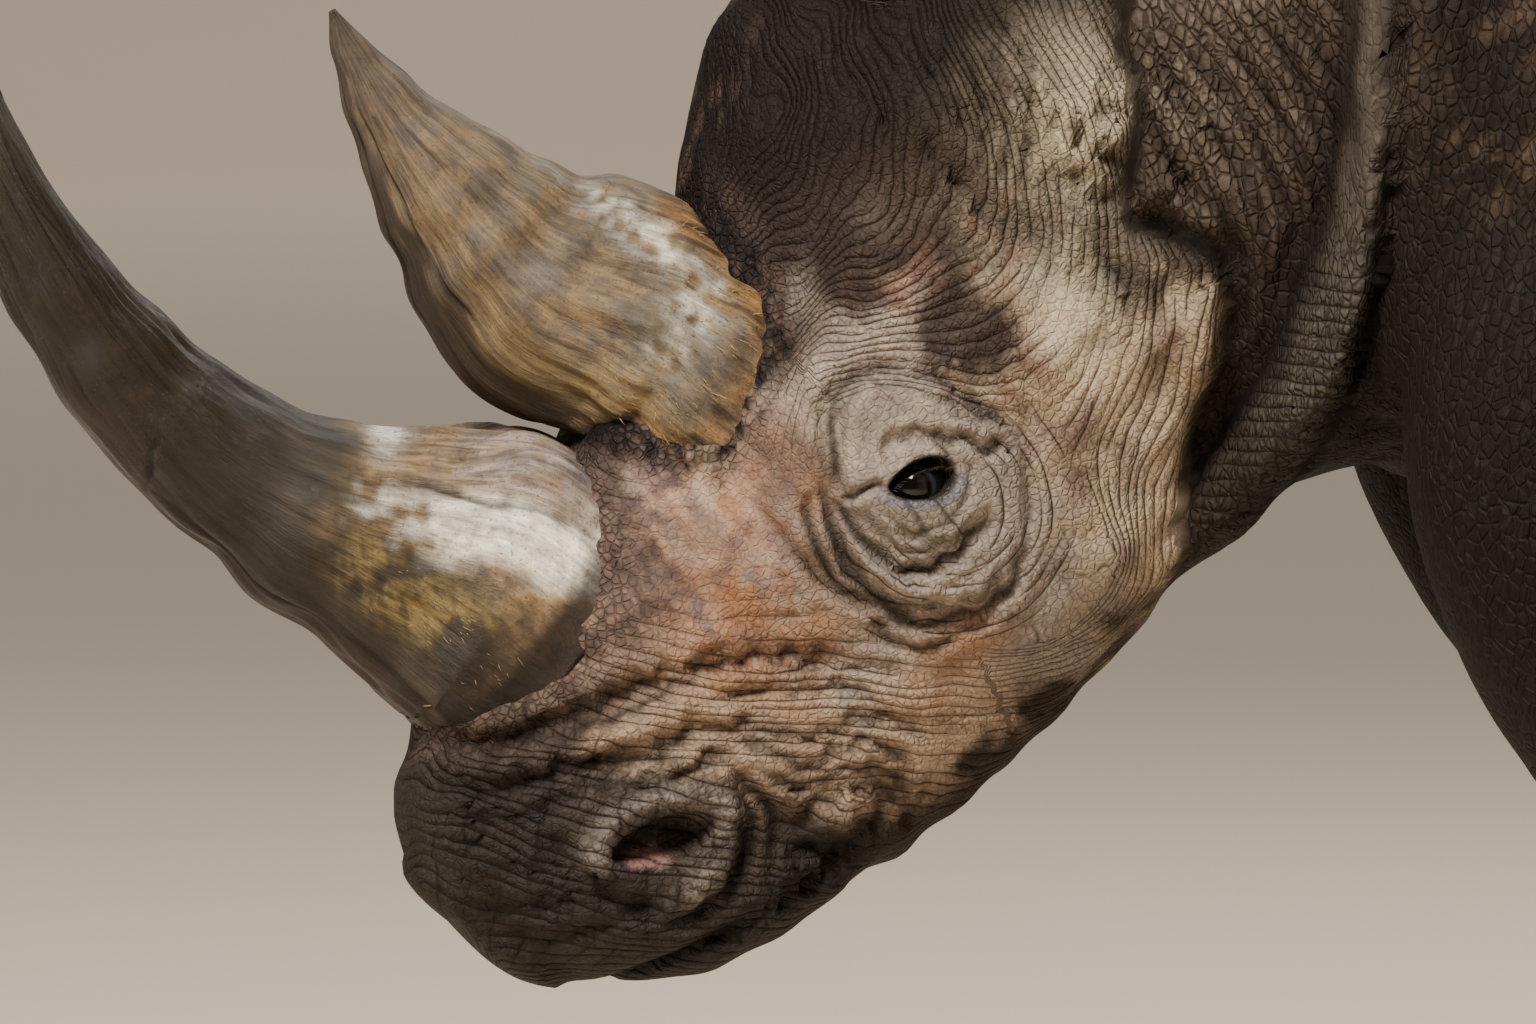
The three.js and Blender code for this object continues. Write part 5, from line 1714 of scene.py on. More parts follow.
        ring, turn = eye_ring(s, v)
        face = 1 - back
        bag = step_up(-v + 0.25 * s, -22, 25)
        eye = face * step_up(l, 45, 80) * (1 - step_up(ring, 84, 104)) * step_up(ring, 20, 34)
        eye = eye * (0.06 + 0.94 * bag)
        bare = swell(q, (92, 80, 78), (64, 80, 52)) * 1.4
        bare = np.clip(bare + swell(q, (-5, 110, 40), (48, 80, 30)), 0, 1)
        bare = np.maximum(bare, swell(q, (-130, 130, -7), (24, 60, 40)))
        muzzle = step_up(s, 200, 255)
        cheek = step_up(-s - 0.35 * v, -60, 20)
        across, along = flow_past_eye(s, side_height(l, v))
        waver = wobble(np.stack([along / 3, across, l], axis=1), 55, 66)
        breadth = np.where(cheek > 0.5, 3.9, 6.4)
        lanes = np.stack([along / 30, (across + 3 * waver) / breadth, l / 60], axis=1)
        roll = 1 - step_up(np.abs(across_roll(points)), 0.7, 1.3)
        lanes = np.where((back > 0.5)[:, None], self._pleat_places(points, roll), lanes)

        smooth_roll = roll * step_up(z, 740, 830)
        turned = np.clip(np.abs(roll - 0.5) / 0.4, 0, 1) + step_up(z, 770, 800)
        turned = np.minimum(turned, 1) * (1 - np.exp(-(((z - 760) / 12) ** 2)) * roll)
        plain = back * turned * (0.95 - 0.75 * smooth_roll) * (1 - 0.6 * step_up(x, 900, 1500))
        comb = face * (1 - eye) * (1 - 0.88 * bare) * np.clip(0.8 + 0.2 * muzzle, 0, 1) + plain
        checker = face * (1 - eye) * (1 - 0.7 * bare) * (0.18 + 0.82 * muzzle)
        checker = checker + back * 0.45 * (1 - smooth_roll)
        seam = step_up(np.abs(border), 3, 12)
        comb, checker = comb * seam, checker * seam
        cobbled = 0.26 * face + 0.72 * back * (1 - 0.65 * smooth_roll) + 0.25 * crust - 0.1 * bare
        dusty = 0.30 + 0.25 * wobble(points, 90, 65) + 0.6 * bare + 0.35 * cheek * face
        dusty = dusty + 0.3 * swell(q, (250, 80, -30), (60, 60, 50))
        dusty = dusty * np.clip(tint.mean(axis=1) / 0.16 - 0.06, 0, 1)
        dusty = dusty + 0.3 * back * step_up(z, 1100, 1400)
        one, around = np.ones(len(l)), 2.2
        circling = around * np.cos(turn) + around * np.sin(turn)
        zones = [eye, comb * (1 - 0.75 * crust), checker, back]
        marks = [crust, wet, dusty, cobbled]
        return {
            "tint": rgba(tint),
            "zones": np.clip(np.stack(zones, axis=1), 0, 1),
            "marks": np.clip(np.stack(marks, axis=1), 0, 1),
            "flow": np.column_stack([lanes, one]),
            "rings": np.column_stack([circling, (ring + 2.0 * waver) / 7.5, l / 60, one]),
        }

    def _patched(self, tint: Array, points: Array, q: Array, back: Array, crust: Array) -> Array:
        """Dust and shade on the shoulder, then the crust and the band round the horns' feet."""
        s, l, v = q.T
        speck, grain = wobble(q, 26, 62), wobble(q, 12, 63)
        side = points[:, ::2]
        dusted = swell(side, (385, 850), (62, 80)) * step_up(wobble(points, 11, 77), 0.2, 1.2)
        ahead = step_up(s - 0.2 * (v - 120), 78, 96)
        band = 1 - step_up(round_foot(s, l, FRONT_FOOT) + 0.03 * speck, 1.10, 1.24)
        band = band * step_up(v, 40, 80) * ahead
        return layered(
            tint,
            (self.CLOUDED, 0.6 * back * dusted),
            # Painted shadow low on the chest, under the neck before the foreleg.
            (self.CHEST_SHADOW, 0.85 * back * swell(side, (405, 610), (125, 120))),
            (self.BLACK, crust * (0.86 + 0.25 * grain) * (1 - ahead)),
            (self.BAND, band * np.clip(0.85 + 0.2 * grain, 0.5, 1)),
            (self.SCAR, crust * 0.35 * step_up(wobble(q, 15, 64), 0.8, 1.6)),
        )

    def _opened(self, tint: Array, q: Array) -> tuple[Array, Array]:
        """The colours in and round the nostril, the lids and the mouth, with painted shade in their
        openings.

        Args:
            tint: The colours under them.
            q: Places in the head's frame, folded over its middle plane.

        Returns:
            The colours, and how wet each place is.
        """
        s, l, v = q.T
        flesh = self.flesh
        hole = 1 - step_up(flesh.nostril(s, l, v), -1.5, 1.2)
        a, b = flesh.along_nostril(s, v)
        pink = hole * (1 - step_up(b, -7, -1)) * step_up(a, -6, 6) * (1 - step_up(a, 20, 28))
        slit = flesh.lid_slit(s, l, v)
        near_eye = step_up(l, 108, 118) * (1 - step_up(np.hypot(s, v - 4), 28, 36))
        rim = np.exp(-((slit / 1.5) ** 2)) * near_eye
        _, _, w = flesh.lid_place(s, l, v)
        lid = 0.85 * np.exp(-(((slit - 2.8) / 2.0) ** 2)) * near_eye
        lips = np.full(len(q), FAR)
        close = (s > 150) & (l < 140)
        lips[close] = flesh.from_mouth(np.stack([s[close], v[close]], axis=1))
        tint = layered(
            tint,
            (self.SLATE, 0.85 * flesh.hood(s, v) * step_up(l, 45, 70)),
            (self.SLATE, 0.7 * swell(q, (266, 80, -50), (20, 50, 11))),
            # Painted shade in the nostril's opening, darkest under its hood.
            (self.BLACK, hole * (0.55 + 0.42 * step_up(b, -9, -3))),
            (self.PINK, pink),
            (self.LID, lid * step_up(5 - w, 0, 5)),
            # Painted shade along the edge of the lids, where they meet the eyeball.
            (self.BLACK, 0.9 * rim),
            # Painted shade in the slit of the mouth.
            (self.BLACK, 0.7 * (1 - step_up(lips, 2, 6))),
        )
        return tint, np.maximum(hole, 0.9 * rim)

    @staticmethod
    def _pleat_places(points: Array, roll: Array) -> Array:
        """Where the neck's fine pleats run: upright, and across its roll on the roll's low part."""
        x, y, z = points.T
        behind = x - ROLL.at(z)[0]
        drape = np.where(behind > -6, behind, neck_drape(points))
        upright = np.stack([z / 60, drape / 15, y / 90], axis=1)
        hoops = np.stack([drape / 40, z / 9, y / 90], axis=1)
        level = (roll > 0.5) & (z < 760)
        return np.where(level[:, None], hoops, upright)


@dataclass
class Hide:
    """The one skin of the animal: the net over its flesh with the ears and the tail."""

    cell: float = 3.9
    fine: float = 140.0
    growth: float = 2.58
    centre: tuple[float, float, float] = (92, 85, 0)
    left_spots: tuple[Four, ...] = (
        (0, 122, -8, 82),
        (0, 125, 4, 30),
        (258, 84, -18, 52),
        (-240, 190, -62, 118),
        (-345, 235, 10, 58),
        (-290, 238, -45, 58),
        (-235, 225, -105, 52),
        (-190, 180, -155, 46),
    )
    right_spots: tuple[Four, ...] = (
        (0, 122, 0, 62),
        (0, 125, 4, 30),
        (258, 84, -18, 46),
    )

    def net(self, flesh: Flesh) -> Body:
        """The net over the flesh, finer at the left eye and nostril, where the lids are thin."""
        warped = WarpedNet(
            flesh,
            HEAD.world(self.centre),
            self.cell,
            self.fine,
            self.growth,
            np.array([-420.0, -460, -20]),
            np.array([2420.0, 460, 1470]),
        )
        points, faces = warped.build()
        mesh = bpy.data.meshes.new("net")
        mesh.from_pydata(points.tolist(), [], faces.tolist())
        work = bmesh.new()
        work.from_mesh(mesh)
        bpy.data.meshes.remove(mesh)
        for axes, spots in ((HEAD, self.left_spots), (HEAD.mirrored(), self.right_spots)):
            for s, l, v, reach in spots:
                at = np.array([point.co for point in work.verts])
                close = np.linalg.norm(at - axes.world((s, l, v)), axis=1) < reach
                edges = [e for e in work.edges if close[e.verts[0].index] and close[e.verts[1].index]]
                bmesh.ops.subdivide_edges(work, edges=edges, cuts=1, use_grid_fill=True)
                work.verts.index_update()
        points = np.array([point.co for point in work.verts])
        faces = [[point.index for point in face.verts] for face in work.faces]
        work.free()
        points = np.concatenate([settle(flesh, part) for part in np.array_split(points, 4)])
        points[:, 2] = np.maximum(points[:, 2], 0)
        body = Body(points, faces, Paint(flesh).of(points))
        middles = points[np.array([face[:3] for face in faces])].mean(axis=1)
        fields = [HEAD_FORM(middles), np.minimum(TORSO(middles), NECK_FORM(middles))]
        fields += [leg(middles) for leg in flesh.legs]
        near = np.argmin(fields, axis=0)
        body.uv = corner_uv(points, faces, [HEAD_CHART, TRUNK_CHART, *LEG_CHARTS], near)
        return body


@dataclass(frozen=True)
class Ear:
    """A cupped ear: a curled leaf whose rows are [along, radius, half of the turn, thickness]."""

    axes: Axes
    box: Four
    lean: float = 0.3
    rows: int = 60
    columns: int = 64
    table: tuple[Four, ...] = (
        (-52, 11, 116, 7),
        (-30, 17, 108, 9),
        (-8, 25, 102, 11),
        (22, 33, 100, 11),
        (60, 43, 104, 9),
        (105, 51, 104, 8),
        (150, 46, 92, 7),
        (185, 32, 84, 6),
        (208, 15, 78, 5),
        (218, 4, 72, 3),
    )

    def directions(self) -> tuple[Array, Array, Array, Array]:
        """The ear's root, its run, the way that it opens and the way across."""
        along = unit(0.88 * self.axes.up - 0.38 * self.axes.along + self.lean * self.axes.side)
        mouth = 0.8 * self.axes.along + 0.75 * self.axes.side
        mouth = unit(mouth - along * (mouth @ along))
        return self.axes.world((-232, 96, 118)), along, mouth, np.cross(along, mouth)

    def surface(self, run: Array, around: Array) -> tuple[Array, Array]:
        """Points of the leaf; around runs over its back from rim to rim and then over its inside.

        Args:
            run: Share of the ear's length.
            around: Share of the way round its slice.

        Returns:
            The points, and how far inside the cup they are, 0 to 1.
        """
        root, along, mouth, across = self.directions()
        curve = Curve(self.table)
        place = self.table[0][0] + run * (self.table[-1][0] - self.table[0][0])
        radius, wrap, thick = curve.at(place)
        inside = around > 0.5
        sweep = np.where(inside, 3 - 4 * around, 4 * around - 1)
        lip = np.clip(1 - np.abs(sweep), 0, 0.06) / 0.06
        half = thick / 2 * np.sqrt(np.clip(1 - (1 - lip) ** 2, 0.0, 1))
        turn = np.radians(wrap) * sweep
        ripple = 1.3 * np.sin(turn * 5 + place / 17) * step_up(run, 0.1, 0.3) * (1 - step_up(run, 0.7, 0.95))
        pleat = np.abs(np.sin(place / 8.5 + 1.4 * np.sin(2 * turn))) ** 0.6 - 0.6
        fold = 2.2 * (1 - step_up(run, 0.15, 0.55)) * pleat
        reach = radius - thick / 2 + np.where(inside, -half, half + fold) + ripple
        droop = 6 * np.sin(math.pi * run) * np.abs(sweep) ** 3
        at = root + along * (place - droop)[:, None]
        at = at - mouth * (np.cos(turn) * reach)[:, None] + across * (np.sin(turn) * reach)[:, None]
        return at, inside.astype(float)

    def body(self) -> Body:
        """The ear's mesh with what the hide's points carry."""
        run, around = lattice(
            np.linspace(0, 1, self.rows) ** 0.9, (np.arange(self.columns) + 0.5) / self.columns
        )
        points, inside = self.surface(run, around)
        faces = closed_faces(self.rows, self.columns)
        tint = layered(
            Paint.LOBE,
            (Paint.BODY, 0.5 + 0.4 * wobble(points, 60, 71)),
            (Paint.CROWN, 1 - step_up(run, 0.16, 0.34)),
            (Paint.BROW, step_up(run, 0.6, 1.0) * 0.6),
            (Paint.SCAR, inside * 0.4),
            (Paint.BLACK, inside * (1 - step_up(run, 0.2, 0.5)) * 0.7),
        )
        flow = (around * 6, run * 22)
        colours = plain_hide(tint, (0, 0.5, 0, 0), (0, 0, 0.4, 0.55), flow)
        return oriented(Body(points, faces, colours, box_uv(self.rows, self.columns, self.box, faces)))


def plain_hide(
    tint: Array, zones: Sequence[float], marks: Sequence[float], flow: tuple[Array, Array]
) -> dict[str, Array]:
    """What the points of an ear or the tail carry.

    Args:
        tint: Their colours.
        zones: The values of the zones, the same at each point.
        marks: The values of the marks, the same at each point.
        flow: Where the points lie along and across the creases.

    Returns:
        The values under the names that the hide's material reads.
    """
    count = len(tint)
    return {
        "tint": rgba(tint),
        "zones": even(zones, count),
        "marks": even(marks, count),
        "flow": np.column_stack([*flow, even((0, 1), count)]),
        "rings": even((0, 0, 0, 1), count),
    }


def oriented(body: Body) -> Body:
    """The body with its faces pointing outwards; its unwrap turns over with them."""
    faces = outward(body.points, body.faces)
    if faces[0] != body.faces[0] and body.uv is not None:
        sizes = np.array([len(face) for face in faces])
        start = np.cumsum(sizes) - sizes
        spot = np.arange(len(body.uv))
        owner = np.repeat(np.arange(len(faces)), sizes)
        body.uv = body.uv[start[owner] + sizes[owner] - 1 - (spot - start[owner])]
    return Body(body.points, faces, body.colours, body.uv)


def rounded(value: Array, power: Array | float) -> Array:
    """A sine or cosine with its size raised to a power below 1, which squares a ring's corners."""
    return np.sign(value) * np.abs(value) ** power


def bent_line(table: Sequence[Sequence[float]]) -> Curve:
    """A curve through a table's rows by the distance along their first two columns."""
    stations = np.array(table, float)
    steps = np.linalg.norm(np.diff(stations[:, :2], axis=0), axis=1)
    return Curve(np.column_stack([np.concatenate([[0], np.cumsum(steps)]), stations]))


def squareness(run: Array) -> Array:
    """The power that squares a horn's slices near its foot, and 1 further up."""
    return 0.8 + 0.2 * step_up(run, 60, 170)


def bent_rings(
    axes: Axes,
    table: Sequence[Sequence[float]],
    rows: int,
    columns: int,
    spread: Callable[..., Array],
    squared: bool = False,
) -> tuple[Array, Array, Array]:
    """Rings of points round a line that bends in a frame's middle plane.

    Args:
        axes: The frame.
        table: Rows of [along, up, half length, half breadth] of elliptic slices.
        rows: Rings.
        columns: Points in a ring.
        spread: What is added to each point's reach, from its run in millimetres and its turn.
        squared: Whether the first slices are squarer than ellipses.

    Returns:
        The points, how far along the line each is, and its turn, 0 at the front.
    """
    curve = bent_line(table)
    run = np.linspace(0, curve.rows[-1, 0], rows)
    along, up, half_length, half_breadth = curve.at(run)
    way = np.stack([np.gradient(along, run), np.gradient(up, run)])
    way /= np.linalg.norm(way, axis=0)
    t, a = np.meshgrid(run, turns(columns), indexing="ij")
    extra = spread(t.ravel(), a.ravel()).reshape(t.shape)
    square = squareness(t) if squared else 1.0
    fore = rounded(np.cos(a), square) * (half_length[:, None] + extra)
    side = rounded(np.sin(a), square) * (half_breadth[:, None] + extra)
    local = [along[:, None] + fore * way[1][:, None], side, up[:, None] - fore * way[0][:, None]]
    return axes.world(np.stack(local, -1).reshape(-1, 3)), t.ravel(), a.ravel()


def closed_faces(rows: int, columns: int) -> list[list[int]]:
    """Faces of a closed run of rings with a flat cap at each end."""
    last = (rows - 1) * columns
    caps = [list(range(columns))[::-1], list(range(last, last + columns))]
    return grid_faces(rows, columns).tolist() + caps


TAIL_TABLE = (
    (2262, 1238, 44, 46),
    (2312, 1216, 43, 44),
    (2352, 1162, 37, 37),
    (2382, 1070, 29, 28),
    (2400, 960, 24, 23),
    (2407, 860, 21, 20),
    (2407, 760, 18, 17),
    (2405, 690, 15, 15),
    (2404, 662, 7, 7),
)


def tail_body(rows: int = 86, columns: int = 30) -> Body:
    """The tail without its hair: creased across, with what the hide's points carry."""

    def creased(run: Array, turn: Array) -> Array:
        """Shallow rings that wander a little round the tail."""
        ring = np.abs(np.sin(run / 9 + 0.8 * np.sin(turn * 2))) ** 0.5 - 0.7
        return 1.1 * ring * step_up(run, 30, 90)

    points, run, turn = bent_rings(TRUNK, TAIL_TABLE, rows, columns, creased)
    faces = closed_faces(rows, columns)
    tint = blend(Paint.BODY, Paint.BROW, 0.3 + 0.5 * step_up(run, 250, 600))
    colours = plain_hide(tint, (0, 0, 0, 0.4), (0, 0, 0.4, 0.8), (turn, run / 14))
    return oriented(Body(points, faces, colours, box_uv(rows, columns, TAIL_BOX, faces)))


# ------------------------------------------------------------------ horns


@dataclass(frozen=True)
class HornFinish:
    """Worn horn: lengthwise fibres in the colour that its points carry, dark in the cracks."""

    name: str
    rough: float
    fibre: float = 1.9  # width of a fibre, in millimetres
    depth: float = 0.0020  # of the fibres' relief, in metres
    groove: Four = (0.02, 0.014, 0.008, 1)
    stain: Four = (0.035, 0.024, 0.014, 1)
    pit: Four = (0.03, 0.02, 0.012, 1)
    split: Four = (0.008, 0.006, 0.005, 1)

    def made(self, mottle: Group, grain: Group) -> bpy.types.Material:
        """The material. It reads the horn's own attributes and Object coordinates."""
        finish, n, shader = material(self.name)
        tint, _ = n.attribute("tint")
        place, _ = n.attribute("fibre")
        polish, crack, bleached, frayed = n.parts("marks")
        object_place = n.add("TexCoord", out="Object")
        thin = n.noise(n.vector("DIVIDE", place, (self.fibre, self.fibre, 22.0)), 1.0, 6, 0.68)
        broad = n.noise(n.vector("DIVIDE", place, (10.0, 10.0, 90.0)), 1.0, 4, 0.62)
        relief = grain.use(n, Place=object_place, Size=0.0022)["Relief"]
        blotch = mottle.use(n, Place=object_place, Size=0.020)
        shade = n.math("MULTIPLY_ADD", thin, 0.75, n.times(broad, 0.55))
        dark = n.step(shade, 0.54, 0.67, 1.0, 0.0)
        less = n.math("MULTIPLY_ADD", bleached, -0.25, 0.72)
        lighter = n.vector("MULTIPLY", tint, (2.3, 2.2, 2.0))
        colour = tint
        for share, coat in (
            (n.times(dark, less), n.mix(0.7, tint, self.groove)),
            (n.times(n.step(shade, 0.66, 0.78), 0.36), lighter),
            (n.times(blotch["Dirty"], less, 0.8), self.stain),
            (n.times(blotch["Pale"], 0.30), lighter),
            (n.step(relief, 0.44, 0.30, 0.0, 0.55), self.pit),
            (crack, self.split),
        ):
            colour = n.mix(share, colour, coat)
        worn = n.math("MULTIPLY_ADD", relief, 0.2, self.rough - 0.1)
        height = n.math("MULTIPLY_ADD", relief, 0.22, thin)
        height = n.math("MULTIPLY_ADD", n.times(frayed, 2.2), thin, height)
        inputs = {
            "Base Color": colour,
            "Roughness": n.math("MULTIPLY_ADD", polish, -0.26, worn),
            "Specular IOR Level": 0.3,
            "Normal": n.bump(height, self.depth),
        }
        n.fill(shader, inputs)
        return finish


@dataclass
class Horn:
    """One horn: slices [along, up, half length, half breadth] in the head's middle plane."""

    name: Piece
    node: str
    table: tuple[Four, ...]
    seed: int
    rows: int = 330
    columns: int = 220

    def spread(self, run: Array, turn: Array) -> Array:
        """Fibre ridges, growth rings, pits and the frayed foot, as reach added at each point."""
        ring = wrapped(turn, 34, run / 9)
        fibres = wobble(ring, 7.5, self.seed, 18)
        broad = wobble(wrapped(turn, 34, run / 4), 34, self.seed + 1)
        low = 1 - step_up(run, 40, 190)
        out = 0.55 * fibres + 1.5 * broad * (0.3 + 0.7 * low)
        foot = low * (1.3 * fibres + 1.8 * wobble(ring, 16, self.seed + 2))
        out += foot * step_up(run, 10, 110)
        rings = np.stack([run, 6 * np.cos(turn), 6 * np.sin(turn)], axis=1)
        grown = 1.1 * wobble(rings, 46, self.seed + 3) * (1 - step_up(run, 260, 460))
        out += grown - 2.5 * self.cracks(run, turn)
        return out - 2.6 * step_up(run, run.max() - 120, run.max() - 10)

    def cracks(self, run: Array, turn: Array) -> Array:
        """How deep in a crack each place is: a few long splits along the horn."""
        rng = np.random.default_rng(self.seed + 9)
        deep, total = np.zeros(len(run)), run.max()
        for _ in range(9):
            middle, half = rng.uniform(0.1, 0.85) * total, rng.uniform(25, 90)
            at = rng.uniform(0, TURN)
            off = (turn - at + 0.05 * np.sin(run / 14 + at) + math.pi) % TURN - math.pi
            width = 0.022 + 0.010 * rng.random()
            fade = np.clip(1 - ((run - middle) / half) ** 2, 0, 1)
            deep = np.maximum(deep, np.exp(-((off / width) ** 2)) * fade)
        return deep

    def tint(self, p: Array, run: Array, turn: Array) -> tuple[Array, Array]:
        """Colours and marks at places in the head's frame; each horn has its own."""
        raise NotImplementedError

    def body(self, scale: float = 1.0) -> Body:
        """The horn's mesh."""
        rows, columns = int(self.rows * scale), int(self.columns * scale)
        points, run, turn = bent_rings(HEAD, self.table, rows, columns, self.spread, True)
        tint, marks = self.tint(HEAD.local(points), run, turn)
        fibre = np.column_stack([wrapped(turn, 42, run), np.ones(len(run))])
        colours = {"tint": rgba(tint), "marks": marks, "fibre": fibre}
        return oriented(Body(points, closed_faces(rows, columns), colours))


class FrontHorn(Horn):
    """The long horn: olive-grey shaft, bleached patch, moss and a dark underside at its foot."""

    SHAFT = linear(28, 24, 19)
    STREAK = linear(56, 50, 40)
    UMBER = linear(26, 19, 12)
    BLEACHED = linear(222, 216, 200)
    MOSS = linear(116, 98, 58)
    TAN = linear(132, 108, 80)
    MAUVE = linear(150, 136, 128)
    VIOLET = linear(88, 84, 92)
    OCHRE = linear(126, 100, 66)

    def cracks(self, run: Array, turn: Array) -> Array:
        """The splits, and a notch part of the way round, a third of the way up."""
        deep = super().cracks(run, turn)
        off = (turn - 0.75 + math.pi) % TURN - math.pi
        notch = np.exp(-(((run - 268 - 9 * np.sin(off * 2.5)) / 2.2) ** 2))
        return np.maximum(deep, notch * np.clip(1 - (off / 0.5) ** 2, 0, 1))

    @staticmethod
    def moss(p: Array) -> Array:
        """How mossy a place in the head's frame is."""
        return swell(p, (226, 48, 176), (19, 60, 46)) + 0.6 * swell(p, (232, 40, 214), (16, 50, 22))

    def tint(self, p: Array, run: Array, turn: Array) -> tuple[Array, Array]:
        """Colours by place: the patches of the foot, then the shaft to its tip."""
        s, v = p[:, 0], p[:, 2]
        streak = wobble(wrapped(turn, 40, run / 6), 13, 81)
        cloud, blotch = wobble(p, 60, 82), wobble(p, 20, 83)
        middle = step_up(run, 190, 250) * (1 - step_up(run, 350, 480))
        foot = 1 - step_up(run + 14 * cloud + 0.5 * (s - 190), 120, 205)
        mauve = foot * swell(p, (128, 60, 178), (34, 70, 46))
        # the bleached patch runs from the foot's rear up the flank
        along = (s - 141) * 0.40 + (v - 106) * 0.917
        off = (v - 106) * -0.40 + (s - 141) * 0.917
        white = step_up(along + 8 * blotch, -30, 6) * (1 - step_up(along + 18 * blotch, 90, 150))
        white = white * (1 - step_up(np.abs(off + 5 * cloud + 3 * blotch), 10, 30))
        freckled = 0.45 * white * step_up(wobble(p, 12, 84) + 0.4 * streak, 1.0, 1.7)
        front = step_up(np.cos(turn) + 0.04 * streak, 0.12, 0.62) * (1 - step_up(run, 200, 330))
        # dark between the moss and the foot's edge, along the edge and round the moss
        below = 0.75 * swell(p, (232, 50, 112), (34, 70, 24)) * np.clip(0.8 + 0.35 * blotch, 0.1, 1)
        hem = 0.7 * (1 - step_up(v + 8 * blotch, 84, 104)) * step_up(s, 130, 190)
        damp = 0.9 * np.clip(2.2 * swell(p, (232, 44, 182), (27, 70, 58)), 0, 1)
        moss = self.moss(p) * step_up(cloud + 0.5 * blotch, -1.3, 0.2)
        tufts = 0.45 + 0.55 * step_up(wobble(p, 7, 85) + 0.6, -0.6, 0.8)
        rim = np.clip(1.2 * swell(p, (110, 50, 128), (11, 90, 36)), 0, 1)
        tint = layered(
            self.SHAFT,
            (self.STREAK, 0.30 + 0.22 * streak),
            (self.STREAK, step_up(run, 400, 600) * 0.7),
            (self.UMBER, middle * (0.7 + 0.15 * streak)),
            (self.TAN, foot * np.clip(0.9 + 0.15 * blotch, 0.6, 1)),
            (self.MAUVE, mauve * (0.9 + 0.3 * streak)),
            (self.OCHRE, foot * 0.6 * step_up(blotch + 0.6 * streak, 0.5, 1.5)),
            (self.BLEACHED, white * (0.9 + 0.12 * blotch)),
            (self.OCHRE, freckled),
            (self.BLEACHED, 0.9 * swell(p, (156, 20, 252), (16, 50, 9))),
            (self.UMBER, front * np.clip(0.9 + 0.06 * streak, 0.75, 1)),
            (self.UMBER, below),
            (self.UMBER, hem),
            (self.UMBER, damp),
            (self.MOSS, np.clip(moss * 1.5, 0, 1) * tufts),
            (self.VIOLET, rim * np.clip(0.75 + 0.25 * blotch, 0.3, 1)),
            (Paint.BLACK, (1 - step_up(run, 22, 36)) * 0.85),
        )
        polish = step_up(run, 180, 300) + 0.7 * np.clip(white, 0, 1)
        frayed = moss + 0.25 * foot * (1 - white)
        crack = np.clip(self.cracks(run, turn), 0, 1) * 0.9
        return tint, np.clip(np.stack([polish, crack, white, frayed], axis=1), 0, 1)


class RearHorn(Horn):
    """The short horn: golden and ashen flanks over a frayed ochre foot."""

    FLANK = linear(104, 86, 62)
    ASH = linear(82, 72, 62)
    CHALK = linear(180, 172, 156)
    OLIVE = linear(98, 82, 50)
    OCHRE = linear(132, 98, 58)
    UMBER = linear(34, 25, 17)

    def tint(self, p: Array, run: Array, turn: Array) -> tuple[Array, Array]:
        """Colours by place: dark before, chalky patches on the flanks, ochre at the foot."""
        ring = wrapped(turn, 40, run / 5)
        streak, cloud, blotch = wobble(ring, 12, 91), wobble(p, 40, 92), wobble(p, 15, 93)
        facing = np.cos(turn)
        chalk = swell(p, (0, 70, 160), (34, 70, 12))
        chalk = np.maximum(chalk, swell(p, (-26, 60, 205), (12, 70, 44)))
        golden = 0.7 * swell(p, (-44, 60, 176), (11, 70, 30))
        height = self.above_skin(p)
        edge = 1 - step_up(height + 5 * streak + 4 * cloud, 14, 34)
        frayed = edge * (0.7 + 0.35 * streak) * (1 - 0.7 * step_up(facing, 0.6, 0.9))
        tint = layered(
            self.FLANK,
            (self.ASH, 0.45 + 0.35 * cloud + 0.25 * blotch),
            (self.CHALK, chalk * (0.75 + 0.5 * blotch)),
            (self.OLIVE, 0.85 * step_up(facing, 0.25, 0.6) * (1 - step_up(run, 120, 190))),
            (self.OCHRE, golden * (0.8 + 0.3 * blotch)),
            (self.UMBER, step_up(facing + 0.05 * streak, 0.68, 0.86) * 0.9),
            (self.ASH, step_up(run, 190, 330) * 0.6),
            (self.OCHRE, frayed),
            (self.UMBER, 0.8 * edge * step_up(wobble(ring, 7, 94), 0.7, 1.4)),
            (Paint.BLACK, (1 - step_up(height, -4, 3)) * 0.9),
        )
        polish = 0.35 * step_up(run, 80, 160)
        crack = np.clip(self.cracks(run, turn), 0, 1) * 0.85
        return tint, np.clip(np.stack([polish, crack, chalk, edge * 1.2], axis=1), 0, 1)

    @staticmethod
    def above_skin(p: Array) -> Array:
        """Roughly how far above the skin round its foot a place is, in the head's frame."""
        s, l, v = folded(p)
        slope = 0.25 * np.minimum(s, 0) + 0.12 * np.maximum(s, 0)
        return v - (172 - slope - 0.5 * np.maximum(l - 35, 0) ** 1.3)


